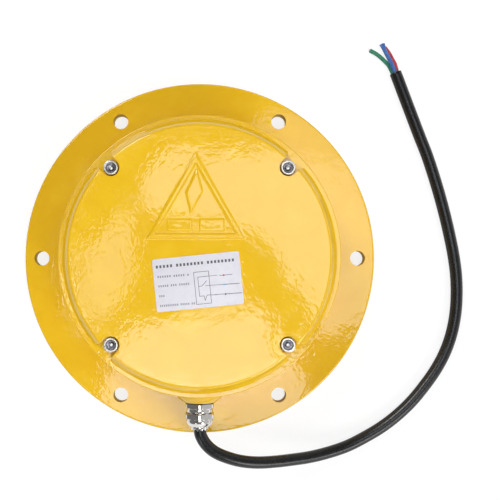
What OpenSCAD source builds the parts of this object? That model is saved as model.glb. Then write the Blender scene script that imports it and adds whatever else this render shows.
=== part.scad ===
// Chute blockage switch: a round cast case whose rubber diaphragm and push plate
// face the material in the chute and work a snap-action switch behind them.
// The mounting face lies on z = 0, the cover faces +Z and the cable gland points to -Y.

/* [Flange] */
// Outside diameter of the mounting flange
flange_d = 260; // [254:1:290]
// Thickness of the mounting flange
flange_t = 10; // [8:0.5:12]
// Rounding of the flange's upper edge
flange_edge_r = 1.5; // [0.5:0.25:3]
// Distance from the flange's rim to the middle of a mounting hole
bolt_inset = 12.5; // [10:0.5:14]
// Diameter of each mounting hole
bolt_hole_d = 11; // [9:0.5:14]
// Number of mounting holes
bolt_count = 6; // [4:1:12]

/* [Case] */
// Outside diameter of the drum
drum_d = 187; // [184:1:194]
// Wall thickness of the drum
drum_wall = 5; // [4:0.5:6]
// Fillet where the drum meets the flange
drum_foot_r = 5; // [2:0.5:8]
// Height of the drum's top face above the mounting face
case_h = 58; // [57:0.5:64]
// Thickness of the floor that carries the diaphragm and the bridge
floor_t = 8; // [7:0.5:10]
// Diameter of the opening in that floor
floor_opening_d = 128; // [122:1:132]
// Diameter of the lugs that take the cover screws
lug_d = 15; // [12:0.5:16]

/* [Cover] */
// How far the cover's ledge stands out past the drum
cover_overhang = 2.5; // [1:0.25:4]
// Thickness of the cover's ledge
ledge_t = 3.5; // [3:0.25:5]
// Width of the flat ring round the raised middle
ledge_w = 3.2; // [2:0.1:5]
// Width of the slope up to the raised middle
slope_w = 4.4; // [3:0.1:6]
// Height of the raised middle above the ledge
plateau_h = 7; // [6:0.25:10]
// Thickness of the raised middle
cover_wall = 4.5; // [3:0.25:5.5]
// Distance from the cover's rim to the middle of a cover screw
screw_inset = 11.85; // [11:0.05:13]
// Diameter of the pockets round the screw heads
pocket_d = 12; // [11:0.5:14]
// Thickness of the gasket under the cover
gasket_t = 1.5; // [1:0.25:3]

/* [Relief on the cover] */
// Side of the raised triangle
triangle_side = 65; // [50:1:75]
// Width of the triangle's raised border
triangle_border = 3; // [2:0.25:5]
// Height of the relief above the cover
relief_h = 0.8; // [0.4:0.1:1.5]
// Sideways place of the triangle's axis
triangle_x = -2.5; // [-10:0.5:10]
// Place of the triangle's base line
triangle_base_y = 12; // [8:0.5:20]

/* [Label] */
// Width of the label
label_w = 58.5; // [40:0.5:70]
// Height of the label
label_h = 35.5; // [20:0.5:45]
// Thickness of the label
label_t = 0.3; // [0.2:0.05:1]
// Corner radius of the label
label_r = 1.5; // [0.5:0.25:4]
// Tilt of the label, in degrees
label_tilt = 5.7; // [-10:0.1:10]
// Sideways place of the label's middle
label_x = -1; // [-10:0.5:10]
// Place of the label's middle along Y
label_y = -17; // [-30:0.5:-10]

/* [Screws] */
// Thread diameter of the cover screws
cover_screw_d = 6; // [5:0.5:6.5]
// Length of the cover screws under the head
cover_screw_len = 20; // [14:1:24]
// Thread diameter of the clamp-ring screws
ring_screw_d = 5; // [4:0.5:5]
// Number of clamp-ring screws
ring_screw_count = 8; // [8:4:16]
// Thread diameter of the bridge screws
bridge_screw_d = 5; // [4:0.5:6]

/* [Clamp ring and diaphragm] */
// Step from the drum's outside to the edge of the clamp ring
ring_inset = 10; // [9:0.5:12]
// Width of the clamp ring on its diaphragm side
ring_w = 16.5; // [15:0.5:18]
// Thickness of the clamp ring
ring_t = 10; // [9:0.5:11]
// How far the clamp ring's bore opens towards the chute
ring_flare = 3; // [1:0.5:4]
// Thickness of the diaphragm's clamped rim
rim_t = 3; // [2:0.25:4]
// Thickness of the diaphragm at its middle
hub_t = 2.5; // [1.5:0.25:3]

/* [Push plate and plunger] */
// Diameter of the push plate
plate_d = 100; // [80:1:110]
// Thickness of the push plate
plate_t = 2; // [1.5:0.25:3]
// How far the push plate lies behind the mounting face
plate_recess = 0.8; // [0.5:0.1:2]
// Diameter of the backing plate behind the diaphragm
backing_d = 92; // [70:1:94]
// Thickness of the backing plate
backing_t = 3; // [2:0.25:4]
// Diameter of the plunger rod
rod_d = 10; // [8:0.5:11]
// Inward travel of the plunger
travel = 5; // [3:0.25:5]
// Slope of the rod's tapered tip, in degrees from its axis
taper_angle = 20; // [16:0.5:20]
// Diameter of the clamp sleeve on the rod
sleeve_d = 18; // [15:0.5:19]

/* [Return spring] */
// Mean diameter of the return spring
spring_d = 27; // [26:0.5:32]
// Wire diameter of the return spring
spring_wire = 2.2; // [1.5:0.1:2.4]
// Number of turns
spring_turns = 4.5; // [3:0.5:4.5]

/* [Bridge] */
// Width of the bridge over the floor opening
bridge_w = 44; // [42:1:50]
// Thickness of the bridge's sheet
bridge_t = 3; // [2.5:0.25:4]
// Height of the bridge's underside above the floor
bridge_rise = 7; // [5.5:0.25:8]
// Distance from the floor opening's edge in to the bridge's slope
bridge_inset = 10; // [8:1:14]
// Outside diameter of the guide bush
bush_d = 15; // [14:0.5:17]
// Length of the guide bush above the bridge
bush_above = 3; // [2:0.25:4]

/* [Switch] */
// Height of the switch case
switch_l = 27.8; // [27:0.1:29]
// Depth of the switch case, along its button
switch_depth = 15.9; // [14:0.1:17]
// Thickness of the switch case
switch_t = 10.3; // [9:0.1:12]
// Diameter of the button
button_d = 3; // [2:0.25:4]
// Diameter of the lever's roller
roller_d = 5; // [4:0.25:5.5]
// Width of the roller
roller_w = 3.5; // [3:0.25:4]
// Distance from the lever's pivot to the roller
lever_arm = 15.8; // [15.4:0.1:16.6]
// Distance from the lever's pivot to the button
button_arm = 8; // [6:0.25:9]

/* [Cable gland] */
// Height of the gland's axis above the mounting face
gland_z = 36; // [35:0.5:38]
// How far the gland's seat stands out from the drum
gland_reach = 9; // [8:0.5:13]
// Thread diameter of the gland
gland_thread_d = 18.6; // [14:0.2:20]
// Width across the flats of the gland's hexagons
gland_af = 20; // [19.6:0.1:24]
// Length of the gland outside its seat
gland_len = 20; // [18:0.25:24]
// Diameter of the boss inside the case
boss_d = 28; // [26:0.5:30]
// Diameter of the boss where it leaves the drum
boss_root_d = 35; // [31:0.5:37]
// Diameter of the boss's face, under the gland
boss_face_d = 23.5; // [23:0.5:27]

/* [Cable] */
// Diameter of the cable
cable_d = 9; // [7:0.1:9.2]
// Diameter of each core
core_d = 3; // [2:0.1:3.4]

/* [Fits] */
// Radial clearance of a screw or shaft in its hole
fit = 0.05; // [0.02:0.01:0.08]
// Gap between parts that only lie beside each other
side_gap = 0.5; // [0.3:0.1:1]

/* [Hidden] */
$fn = 64;

// Small overlap that joins solids of one piece
merge = 0.5;

// Radii and heights of the case
flange_r = flange_d / 2;
bolt_circle_r = flange_r - bolt_inset;
flange_chamfer = 0.8;
drum_r = drum_d / 2;
drum_in_r = drum_r - drum_wall;
ring_r = drum_r - ring_inset;
floor_z = ring_t + rim_t;
floor_top = floor_z + floor_t;
floor_opening_r = floor_opening_d / 2;
lug_top = case_h - 0.3;

// Heights and radii of the cover
cover_z = case_h + gasket_t;
ledge_z = cover_z + ledge_t;
cover_r = drum_r + cover_overhang;
plateau_r = cover_r - ledge_w - slope_w;
cavity_r = plateau_r - cover_wall;
cavity_edge_r = 2;
ledge_edge_r = 0.8;
slope_foot_r = 1;
slope_top_r = 1.5;
screw_r = cover_r - screw_inset;
pocket_wall = 3.5;
pad_x = triangle_side * 0.165;
pad_w = triangle_side * 0.25;
pad_h = triangle_side * 0.12;
pad_y = triangle_border + triangle_side * 0.03;

// Cover screws: cap heads with a hexagon socket
cap_head_d = cover_screw_d * 10 / 6;
cap_head_h = cover_screw_d;
cap_socket_af = cover_screw_d * 5 / 6;
cap_chamfer = 0.7;
screw_pass_d = cover_screw_d + 0.6;
thread_spare = 2;

// Clamp-ring screws: countersunk, from the chute side
ring_screw_r = ring_r - ring_screw_d * 1.2;
ring_screw_head_d = ring_screw_d * 1.84;
ring_screw_head_h = (ring_screw_head_d - ring_screw_d) / 2;
ring_screw_len = floor_top - 2;
ring_screw_angle = 180 / ring_screw_count;
ring_hole_d = ring_screw_d + 0.4;
hex_key = 0.6;

// The stack on the plunger, from the chute side up
plate_z = plate_recess + plate_t;
hub_z = plate_z + hub_t;
backing_z = hub_z + backing_t;
plate_edge = 0.6;
neck_gap = 2;

// The bridge and its bush
bridge_z = floor_top + bridge_rise;
bridge_top = bridge_z + bridge_t;
bridge_mid = floor_opening_r - bridge_inset;
bridge_foot_in = bridge_mid + bridge_rise + bridge_t / 2;
bridge_screw_x = floor_opening_r + bridge_screw_d * 1.6;
bridge_foot_out = bridge_screw_x + bridge_screw_d * 1.3;
bridge_screw_y = bridge_w / 2 - 8;
bridge_screw_len = 10;
bridge_head_d = bridge_screw_d * 1.9;
bridge_head_h = bridge_screw_d * 0.65;
bush_flange_d = 20;
bush_flange_t = 1.5;
bush_z = bridge_z - bush_flange_t;
bush_top = bridge_top + bush_above;

// The sleeve is the inner stop: its end meets the bush after the travel
stop_gap = 0.1;
sleeve_z = bush_z - travel - stop_gap;
nut_h = 3.5;
nut_af = rod_d * 1.6;
tip_r = 1.5;
taper_h = (rod_d / 2 - tip_r) / tan(taper_angle);

// The roller touches the taper, clear of the stop nut at full travel
roller_clear = 0.1;
lever_foot = 2.6;
roller_z = bush_top + nut_h + travel + lever_foot + 0.3;
taper_z = roller_z - roller_d / 2 * sin(taper_angle) - travel - 0.5;
touch_r = rod_d / 2 - (roller_z - roller_d / 2 * sin(taper_angle) - taper_z) * tan(taper_angle);
roller_x = touch_r + roller_d / 2 * cos(taper_angle) + roller_clear;
lever_t = 0.6;
lever_w = 6;
lever_x = roller_x + roller_d / 2 + 1;
pin_d = 1.6;
eye_d = 3.4;
fork_t = 0.6;
fork_gap = 0.25;
pivot_x = lever_x + lever_t / 2;
pivot_z = roller_z + lever_arm;
button_z = pivot_z - button_arm;
switch_gap = 2.6;
switch_x = lever_x + lever_t + switch_gap;
switch_top = pivot_z + 1.8;
switch_z = switch_top - switch_l;
switch_room = 1.5;
plateau_z = max(ledge_z + plateau_h, switch_top + switch_room + cover_wall);
cavity_top = plateau_z - cover_wall;
ear_w = 1.4;
ear_d = 3.6;
button_reach = 5;

// The upright bracket that carries the switch
bracket_t = 2;
bracket_y = switch_t / 2;
bracket_foot = 15;
bracket_w = switch_depth + 1;
switch_hole_d = 3;
switch_nut_af = 5.5;
switch_nut_h = 2.4;
switch_holes = [[switch_x + 4, switch_z + 5], [switch_x + switch_depth - 4, switch_top - 5]];
bracket_hole_d = 4;
bracket_hole_y = bracket_y + bracket_foot / 2 + 1;
bracket_holes = [switch_x + 3.5, switch_x + switch_depth - 3.5];

// The switch's three blade terminals, from the bridge up
blade_first = 4;
blade_pitch = 9;
blade_zs = [for (i = [0:2]) switch_z + blade_first + i * blade_pitch];
blade_w = 4.8;
blade_t = 0.6;
blade_len = 7;
blade_x = switch_x + switch_depth;
receptacle_len = 9;
receptacle_w = 6.4;
receptacle_h = 3;
barrel_len = 5;
barrel_d = 4;

// The gland, along -Y from its seat
boss_r = boss_d / 2;
gland_seat = drum_r + gland_reach;
boss_foot = 0.8;
boss_root_len = 3.5;
boss_inner_y = drum_in_r - 4.5;
gland_gasket_t = 0.8;
gland_body_y = gland_seat + gland_gasket_t;
gland_hex_len = 3.2;
gland_shoulder = 3.5;
gland_neck_d = 16;
gland_neck_y = gland_body_y + gland_hex_len + gland_shoulder;
gland_nut_y = gland_neck_y + 0.3;
gland_end_y = gland_seat + gland_len;
gland_nut_hex = 3.8;
gland_tip_d = 12.6;
gland_bore_d = cable_d + 0.8;
seal_d = 12.4;
seal_len = 8;
seal_y = gland_end_y - 2.2 - seal_len;
neck_len = 5.5;
locknut_t = 4;
locknut_af = gland_thread_d + 4.4;
thread_end_y = boss_inner_y - locknut_t - 1;
cable_inner_y = thread_end_y - 6;

// Route of the free cable from the gland's mouth to its cut end
cable_r = cable_d / 2;
cable_route = [[0, -gland_end_y, gland_z], [1, -127, 36], [4.5, -133, 35.5], [10.5, -138.5, 34.5],
  [18.5, -142.5, 33], [29, -146, 30.5], [41, -148, 27], [54, -148.5, 22.5], [68, -148, 18],
  [82, -147, 13.5], [96, -144.5, 9.8], [110, -140.5, 7], [123, -134.5, 5.4], [136, -127, 4.7],
  [148, -118, 4.5], [159, -107.5, 4.5], [168.5, -96, 4.5], [177, -84, 4.5], [184, -71, 4.5],
  [189, -57, 4.5], [192, -42, 4.5], [193, -27, 4.5], [192.5, -12, 4.5], [190.5, 3, 4.5],
  [187.5, 18, 4.5], [184, 33, 4.5], [180, 48, 4.5], [175.5, 63, 4.5], [170.5, 78, 4.5],
  [165, 92, 4.5], [159.5, 106.5, 4.5], [154, 121, 4.5], [149.5, 133, 4.5], [147, 139.5, 4.5]];

// Routes of the three cores beyond the cut end of the sheath
red_route = [[148.5, 140.2, 3.4], [147.3, 146, 2.6], [145, 151, 1.8], [142.6, 155.4, 1.6],
  [139.5, 159.4, 1.6]];
blue_route = [[146.3, 139.3, 6.4], [143.4, 146.6, 6.1], [141, 151.5, 5.6], [138.8, 156.2, 5.2],
  [136.8, 161, 5]];
green_route = [[145.4, 138.9, 3.2], [142.4, 145.4, 2.6], [139, 149.4, 2], [135.2, 153, 1.6],
  [131.8, 155.3, 1.6], [128.4, 157, 1.6]];

// Where the cores leave the cable inside, and where they meet the terminals
core_start = -cable_inner_y;
core_end_x = blade_x + 1 + receptacle_len + barrel_len;
core_turn = 6 * core_d;
core_apart = (core_d + 0.1) / sqrt(3);
inner_route = function (angle, lead, blade)
  let (from = [core_apart * cos(angle), core_start, gland_z + core_apart * sin(angle)])
  let (to = [core_end_x, 0, blade_zs[blade]])
  bend(from, from + [0, lead, 0], to + [core_turn, 0, 0], to, 14);
green_inner = inner_route(270, 6 * core_d, 0);
blue_inner = inner_route(30, 4 * core_d, 1);
red_inner = inner_route(150, 7 * core_d, 2);

// Colours as the object shows them
paint = [0.93, 0.72, 0.13];
steel = [0.72, 0.72, 0.74];
nickel = [0.8, 0.79, 0.76];
rubber = [0.08, 0.08, 0.08];
brass_tone = [0.8, 0.65, 0.3];

// Unit vector along v
function unit(v) = v / norm(v);

// Points of the arc of radius r that rounds the corner b between a and c
function corner_arc(a, b, c, r, steps) =
  let (u = unit(a - b), v = unit(c - b), half = acos(u * v) / 2)
  let (mid = b + unit(u + v) * r / sin(half), reach = r / tan(half))
  let (from = b + u * reach - mid, to = b + v * reach - mid)
  let (start = atan2(from.y, from.x), sweep = (atan2(to.y, to.x) - start + 540) % 360 - 180)
  [for (i = [0:steps]) mid + r * [cos(start + sweep * i / steps), sin(start + sweep * i / steps)]];

// Outline through points [x, y, corner radius]
function rounded(path, steps = 6) =
  let (n = len(path))
  [for (i = [0:n - 1])
    let (p = path[i], a = path[(i + n - 1) % n], c = path[(i + 1) % n])
    each (p[2] > 0
      ? corner_arc([a.x, a.y], [p.x, p.y], [c.x, c.y], p[2], steps)
      : [[p.x, p.y]])];

// Points of the smooth curve from a to d, which leaves towards b and arrives from c
function bend(a, b, c, d, steps) =
  [for (i = [0:steps]) let (t = i / steps, u = 1 - t)
    u * u * u * a + 3 * u * u * t * b + 3 * u * t * t * c + t * t * t * d];

// Direction of a route at its point i
function heading(route, i) =
  unit(route[min(i + 1, len(route) - 1)] - route[max(i - 1, 0)]);

// Ring of points round a route's point, square to its heading
function ring_points(centre, along, r, sides) =
  let (across = unit(cross(along, [0, 0, 1])), up = cross(across, along))
  [for (k = [0:sides - 1])
    centre + r * (across * sin(360 * k / sides) - up * cos(360 * k / sides))];

// Round tube that follows a route, closed at both ends
module swept(route, d, sides, first = undef, last = undef) {
  n = len(route);
  points = [for (i = [0:n - 1])
    let (along = i == 0 && first != undef ? first
      : i == n - 1 && last != undef ? last : heading(route, i))
    each ring_points(route[i], along, d / 2, sides)];
  walls = [for (i = [0:n - 2]) for (k = [0:sides - 1])
    let (next = (k + 1) % sides)
    each [[i * sides + k, (i + 1) * sides + k, (i + 1) * sides + next],
      [i * sides + k, (i + 1) * sides + next, i * sides + next]]];
  ends = [[for (k = [0:sides - 1]) k],
    [for (k = [sides - 1:-1:0]) (n - 1) * sides + k]];
  polyhedron(points, concat(walls, ends), convexity = 6);
}

// Copies on a circle of radius r
module around(count, r, start = 0) {
  for (i = [0:count - 1]) {
    rotate(start + i * 360 / count) translate([r, 0, 0]) children();
  }
}

// Copies at the four corners of a rectangle
module corners(x, y) {
  for (sx = [-1, 1]) for (sy = [-1, 1]) translate([sx * x, sy * y, 0]) children();
}

// Hexagonal prism by its width across the flats
module hexagon(af, h) {
  cylinder(d = af / cos(30), h = h, $fn = 6);
}

// Plain tube
module tube(outer_d, inner_d, h) {
  difference() {
    cylinder(d = outer_d, h = h);
    translate([0, 0, -merge]) cylinder(d = inner_d, h = h + 2 * merge);
  }
}

// Puts children on the gland's axis, their z running out of the case from y = -from
module on_gland(from) {
  translate([0, -from, gland_z]) rotate([90, 0, 0]) children();
}

// Section of the case: flange, drum and floor
module case_section() {
  polygon(rounded([
    [ring_r + side_gap, 0, 0],
    [flange_r - flange_chamfer, 0, 0],
    [flange_r, flange_chamfer, 0],
    [flange_r, flange_t, flange_edge_r],
    [drum_r, flange_t, drum_foot_r],
    [drum_r, case_h, 0],
    [drum_in_r, case_h, 0],
    [drum_in_r, floor_top, 0],
    [floor_opening_r, floor_top, 0],
    [floor_opening_r, floor_z, 0],
    [ring_r + side_gap, floor_z, 0]]));
}

// Boss for the gland, outside and inside the drum's wall, on a narrower foot
module gland_boss() {
  foot_w = boss_foot * boss_d;
  wall_y = drum_r - drum_wall / 2;
  taper_y = drum_r + boss_root_len;
  on_gland(boss_inner_y) cylinder(r = boss_r, h = drum_r - boss_inner_y);
  on_gland(wall_y) cylinder(d = boss_root_d, h = taper_y - wall_y);
  on_gland(taper_y) cylinder(d1 = boss_root_d, d2 = boss_face_d, h = gland_seat - taper_y);
  translate([-foot_w / 2, -gland_seat, flange_t - merge])
    cube([foot_w, gland_seat - wall_y, gland_z - flange_t + merge]);
  translate([-foot_w / 2, -wall_y, floor_top - merge])
    cube([foot_w, wall_y - boss_inner_y, gland_z - floor_top + merge]);
}

module housing() {
  color(paint) difference() {
    union() {
      rotate_extrude() case_section();
      translate([0, 0, floor_top - merge])
        around(4, screw_r, 45) cylinder(d = lug_d, h = lug_top - floor_top + merge);
      gland_boss();
    }
    translate([0, 0, -merge])
      around(bolt_count, bolt_circle_r) cylinder(d = bolt_hole_d, h = flange_t + 2 * merge);
    translate([0, 0, ledge_z - cover_screw_len - thread_spare])
      around(4, screw_r, 45) cylinder(d = cover_screw_d + 2 * fit, h = cover_screw_len * 2);
    around(ring_screw_count, ring_screw_r, ring_screw_angle)
      cylinder(d = ring_screw_d + 2 * fit, h = ring_screw_len + 1);
    translate([0, 0, floor_top + bridge_t - bridge_screw_len])
      corners(bridge_screw_x, bridge_screw_y)
      cylinder(d = bridge_screw_d + 2 * fit, h = bridge_screw_len);
    on_gland(boss_inner_y - merge)
      cylinder(d = gland_thread_d + 2 * fit, h = gland_seat - boss_inner_y + 2 * merge);
  }
}

// Outside of the cover: ledge, slope and raised middle
module cover_blank() {
  rotate_extrude() polygon(rounded([
    [0, cover_z, 0],
    [cover_r, cover_z, 0],
    [cover_r, ledge_z, ledge_edge_r],
    [plateau_r + slope_w, ledge_z, slope_foot_r],
    [plateau_r, plateau_z, slope_top_r],
    [0, plateau_z, 0]]));
}

// Space for the switch under the cover's raised middle
module cover_cavity() {
  rotate_extrude() polygon(rounded([
    [0, cover_z - merge, 0],
    [cavity_r, cover_z - merge, 0],
    [cavity_r, cavity_top, cavity_edge_r],
    [0, cavity_top, 0]]));
}

// Raised triangle with its border
module triangle_relief() {
  rise = triangle_side * sin(60);
  inset = triangle_border;
  translate([triangle_x, triangle_base_y, plateau_z - merge]) linear_extrude(merge + relief_h)
    difference() {
      polygon([[-triangle_side / 2, 0], [triangle_side / 2, 0], [0, rise]]);
      polygon([[-triangle_side / 2 + inset / tan(30), inset],
        [triangle_side / 2 - inset / tan(30), inset], [0, rise - 2 * inset]]);
    }
}

// Plain lozenge in the middle of the triangle and two plain pads under it
module inner_relief() {
  unit_w = triangle_side / 65;
  translate([triangle_x, triangle_base_y, plateau_z - merge]) {
    linear_extrude(merge + relief_h) scale(unit_w)
      polygon([[0.6, 45.5], [-6.4, 30.6], [-3.4, 17], [4.4, 31.6]]);
    linear_extrude(merge + relief_h / 2) for (side = [-1, 1])
      translate([side * pad_x - pad_w / 2, pad_y]) square([pad_w, pad_h]);
  }
}

module rear_cover() {
  color(paint) difference() {
    union() {
      difference() {
        cover_blank();
        cover_cavity();
      }
      intersection() {
        cover_blank();
        translate([0, 0, cover_z]) around(4, screw_r, 45)
          cylinder(d = pocket_d + 2 * pocket_wall, h = plateau_z - cover_z);
      }
      triangle_relief();
      inner_relief();
    }
    translate([0, 0, ledge_z]) around(4, screw_r, 45) {
      cylinder(d = pocket_d, h = plateau_z - ledge_z + merge);
      translate([0, -pocket_d / 2, 0]) cube([screw_inset + merge, pocket_d, plateau_z - ledge_z + merge]);
    }
    translate([0, 0, cover_z - merge])
      around(4, screw_r, 45) cylinder(d = screw_pass_d, h = ledge_t + 2 * merge);
  }
}

module cover_gasket() {
  color(rubber) translate([0, 0, case_h]) difference() {
    union() {
      tube(drum_d - side_gap, 2 * drum_in_r + side_gap, gasket_t);
      around(4, screw_r, 45) cylinder(d = lug_d - side_gap, h = gasket_t);
    }
    translate([0, 0, -merge])
      around(4, screw_r, 45) cylinder(d = screw_pass_d, h = gasket_t + 2 * merge);
  }
}

module cover_screws() {
  color(steel) around(4, screw_r, 45) difference() {
    union() {
      translate([0, 0, ledge_z - cover_screw_len])
        cylinder(d = cover_screw_d, h = cover_screw_len + merge);
      translate([0, 0, ledge_z]) cylinder(d = cap_head_d, h = cap_head_h - cap_chamfer);
      translate([0, 0, ledge_z + cap_head_h - cap_chamfer])
        cylinder(d1 = cap_head_d, d2 = cap_head_d - 2 * cap_chamfer, h = cap_chamfer);
    }
    translate([0, 0, ledge_z + cap_head_h / 2]) hexagon(cap_socket_af, cap_head_h);
  }
}

module label() {
  w = label_w / 2;
  h = label_h / 2;
  color([0.9, 0.9, 0.95]) translate([label_x, label_y, plateau_z]) rotate(label_tilt)
    linear_extrude(label_t)
    polygon(rounded([[-w, -h, label_r], [w, -h, label_r], [w, h, label_r], [-w, h, label_r]]));
}

module clamp_ring() {
  inner = ring_r - ring_w;
  color(steel) difference() {
    rotate_extrude() polygon([[inner + ring_flare, 0], [ring_r, 0], [ring_r, ring_t],
      [inner, ring_t], [inner, ring_t - 2]]);
    around(ring_screw_count, ring_screw_r, ring_screw_angle) {
      translate([0, 0, -merge]) cylinder(d = ring_hole_d, h = ring_t + 2 * merge);
      translate([0, 0, -merge]) cylinder(d1 = ring_screw_head_d + 2 * fit + 2 * merge,
        d2 = ring_hole_d, h = ring_screw_head_h + merge);
    }
  }
}

module clamp_screws() {
  color(steel) around(ring_screw_count, ring_screw_r, ring_screw_angle) difference() {
    union() {
      cylinder(d = ring_screw_d, h = ring_screw_len);
      cylinder(d1 = ring_screw_head_d - 2 * fit, d2 = ring_screw_d, h = ring_screw_head_h);
    }
    translate([0, 0, -merge]) hexagon(ring_screw_d * hex_key, ring_screw_d / 2 + merge);
  }
}

// Dished rubber: clamped rim, cone and flat middle
module diaphragm() {
  hub_r = plate_d / 2 - neck_gap;
  top_r = backing_d / 2 + neck_gap;
  neck_r = ring_r - ring_w - neck_gap;
  hole_r = rod_d / 2 + fit;
  color(rubber) difference() {
    rotate_extrude() polygon(rounded([
      [hole_r, plate_z, 0],
      [hub_r, plate_z, 6],
      [neck_r, ring_t, 4],
      [ring_r - fit, ring_t, 0],
      [ring_r - fit, floor_z, 0],
      [floor_opening_r - neck_gap, floor_z, 4],
      [top_r, hub_z, 6],
      [hole_r, hub_z, 0]]));
    around(ring_screw_count, ring_screw_r, ring_screw_angle)
      cylinder(d = ring_hole_d, h = floor_z + merge);
  }
}

module push_plate() {
  color(steel) difference() {
    rotate_extrude() polygon([[0, plate_recess], [plate_d / 2 - plate_edge, plate_recess],
      [plate_d / 2, plate_recess + plate_edge], [plate_d / 2, plate_z], [0, plate_z]]);
    cylinder(d = rod_d + 2 * fit, h = plate_z + merge);
  }
}

module backing_plate() {
  color(steel) translate([0, 0, hub_z]) tube(backing_d, rod_d + 2 * fit, backing_t);
}

module plunger_rod() {
  color(steel) {
    translate([0, 0, plate_recess]) cylinder(d = rod_d, h = taper_z - plate_recess);
    translate([0, 0, taper_z]) cylinder(d1 = rod_d, d2 = 2 * tip_r, h = taper_h);
  }
}

// Clamps the stack on the rod and stops it under the bush
module clamp_sleeve() {
  hex_h = 5;
  color(steel) translate([0, 0, backing_z]) difference() {
    union() {
      hexagon(sleeve_d - 2, hex_h);
      translate([0, 0, hex_h - merge])
        cylinder(d = sleeve_d, h = sleeve_z - backing_z - hex_h + merge);
    }
    translate([0, 0, -merge]) cylinder(d = rod_d + 2 * fit, h = sleeve_z);
  }
}

module stop_nut() {
  color(steel) translate([0, 0, bush_top]) difference() {
    hexagon(nut_af, nut_h);
    translate([0, 0, -merge]) cylinder(d = rod_d + 2 * fit, h = nut_h + 2 * merge);
  }
}

// Open coil with a closed turn at each end
module return_spring() {
  sides = 8;
  per_turn = 20;
  free = bridge_z - backing_z - spring_wire;
  steps = round(spring_turns * per_turn);
  dead = round(per_turn * 0.6);
  lift = function (i) i < dead ? 0 : i > steps - dead ? 1 : (i - dead) / (steps - 2 * dead);
  points = [for (i = [0:steps]) for (k = [0:sides - 1])
    let (turn = 360 * i / per_turn, side = 360 * k / sides)
    let (r = spring_d / 2 + spring_wire / 2 * cos(side))
    [r * cos(turn), r * sin(turn),
      backing_z + spring_wire / 2 * (1 + sin(side)) + free * lift(i)]];
  walls = [for (i = [0:steps - 1]) for (k = [0:sides - 1])
    let (next = (k + 1) % sides)
    each [[i * sides + k, (i + 1) * sides + k, (i + 1) * sides + next],
      [i * sides + k, (i + 1) * sides + next, i * sides + next]]];
  ends = [[for (k = [0:sides - 1]) k],
    [for (k = [sides - 1:-1:0]) steps * sides + k]];
  color(steel) polyhedron(points, concat(walls, ends), convexity = 8);
}

// Sheet bridge across the floor opening, its middle raised above the plunger
module bridge() {
  rise = [[-bridge_foot_out, 0], [-bridge_foot_in, 0], [-bridge_mid, bridge_rise],
    [bridge_mid, bridge_rise], [bridge_foot_in, 0], [bridge_foot_out, 0],
    [bridge_foot_out, bridge_t], [bridge_foot_in - bridge_t / 2, bridge_t],
    [bridge_mid - bridge_t / 2, bridge_rise + bridge_t],
    [-bridge_mid + bridge_t / 2, bridge_rise + bridge_t],
    [-bridge_foot_in + bridge_t / 2, bridge_t], [-bridge_foot_out, bridge_t]];
  color(steel) difference() {
    translate([0, bridge_w / 2, floor_top]) rotate([90, 0, 0])
      linear_extrude(bridge_w) polygon(rise);
    translate([0, 0, bridge_z - merge]) cylinder(d = bush_d + 2 * fit, h = bridge_t + 2 * merge);
    translate([0, 0, floor_top - merge]) corners(bridge_screw_x, bridge_screw_y)
      cylinder(d = bridge_screw_d + 0.6, h = bridge_t + 2 * merge);
    for (x = bracket_holes) translate([x, bracket_hole_y, bridge_z - merge])
      cylinder(d = bracket_hole_d + 2 * fit, h = bridge_t + 2 * merge);
  }
}

module bridge_screws() {
  color(steel) translate([0, 0, floor_top + bridge_t])
    corners(bridge_screw_x, bridge_screw_y) difference() {
      union() {
        translate([0, 0, -bridge_screw_len + 1])
          cylinder(d = bridge_screw_d, h = bridge_screw_len - 1 + merge);
        cylinder(d = bridge_head_d, h = bridge_head_h * 0.6);
        translate([0, 0, bridge_head_h * 0.6])
          cylinder(d1 = bridge_head_d, d2 = bridge_head_d * 0.7, h = bridge_head_h * 0.4);
      }
      translate([0, 0, bridge_head_h / 2]) hexagon(bridge_screw_d * hex_key, bridge_head_h);
    }
}

module guide_bush() {
  color(brass_tone) difference() {
    union() {
      translate([0, 0, bush_z]) cylinder(d = bush_flange_d, h = bush_flange_t);
      translate([0, 0, bush_z]) cylinder(d = bush_d, h = bush_top - bush_z);
    }
    translate([0, 0, bush_z - merge])
      cylinder(d = rod_d + 2 * fit, h = bush_top - bush_z + 2 * merge);
  }
}

// Angle bracket: foot on the bridge, upright beside the switch
module switch_bracket() {
  x0 = switch_x + (switch_depth - bracket_w) / 2;
  color(steel) difference() {
    union() {
      translate([x0, bracket_y, bridge_top])
        cube([bracket_w, bracket_t, switch_top - bridge_top - 1]);
      translate([x0, bracket_y, bridge_top]) cube([bracket_w, bracket_foot, bracket_t]);
    }
    for (p = switch_holes) translate([p.x, bracket_y + bracket_t + merge, p.y]) rotate([90, 0, 0])
      cylinder(d = switch_hole_d + 2 * fit, h = bracket_t + 2 * merge);
    for (x = bracket_holes) translate([x, bracket_hole_y, bridge_top - merge])
      cylinder(d = bracket_hole_d + 2 * fit, h = bracket_t + 2 * merge);
  }
}

module bracket_screws() {
  head_h = 2.6;
  color(steel) for (x = bracket_holes)
    translate([x, bracket_hole_y, bridge_top + bracket_t]) difference() {
      union() {
        translate([0, 0, -bracket_t - bridge_t])
          cylinder(d = bracket_hole_d, h = bracket_t + bridge_t + merge);
        cylinder(d = bracket_hole_d * 1.8, h = head_h);
      }
      translate([0, 0, head_h / 2]) hexagon(bracket_hole_d * hex_key, head_h);
    }
}

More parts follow.
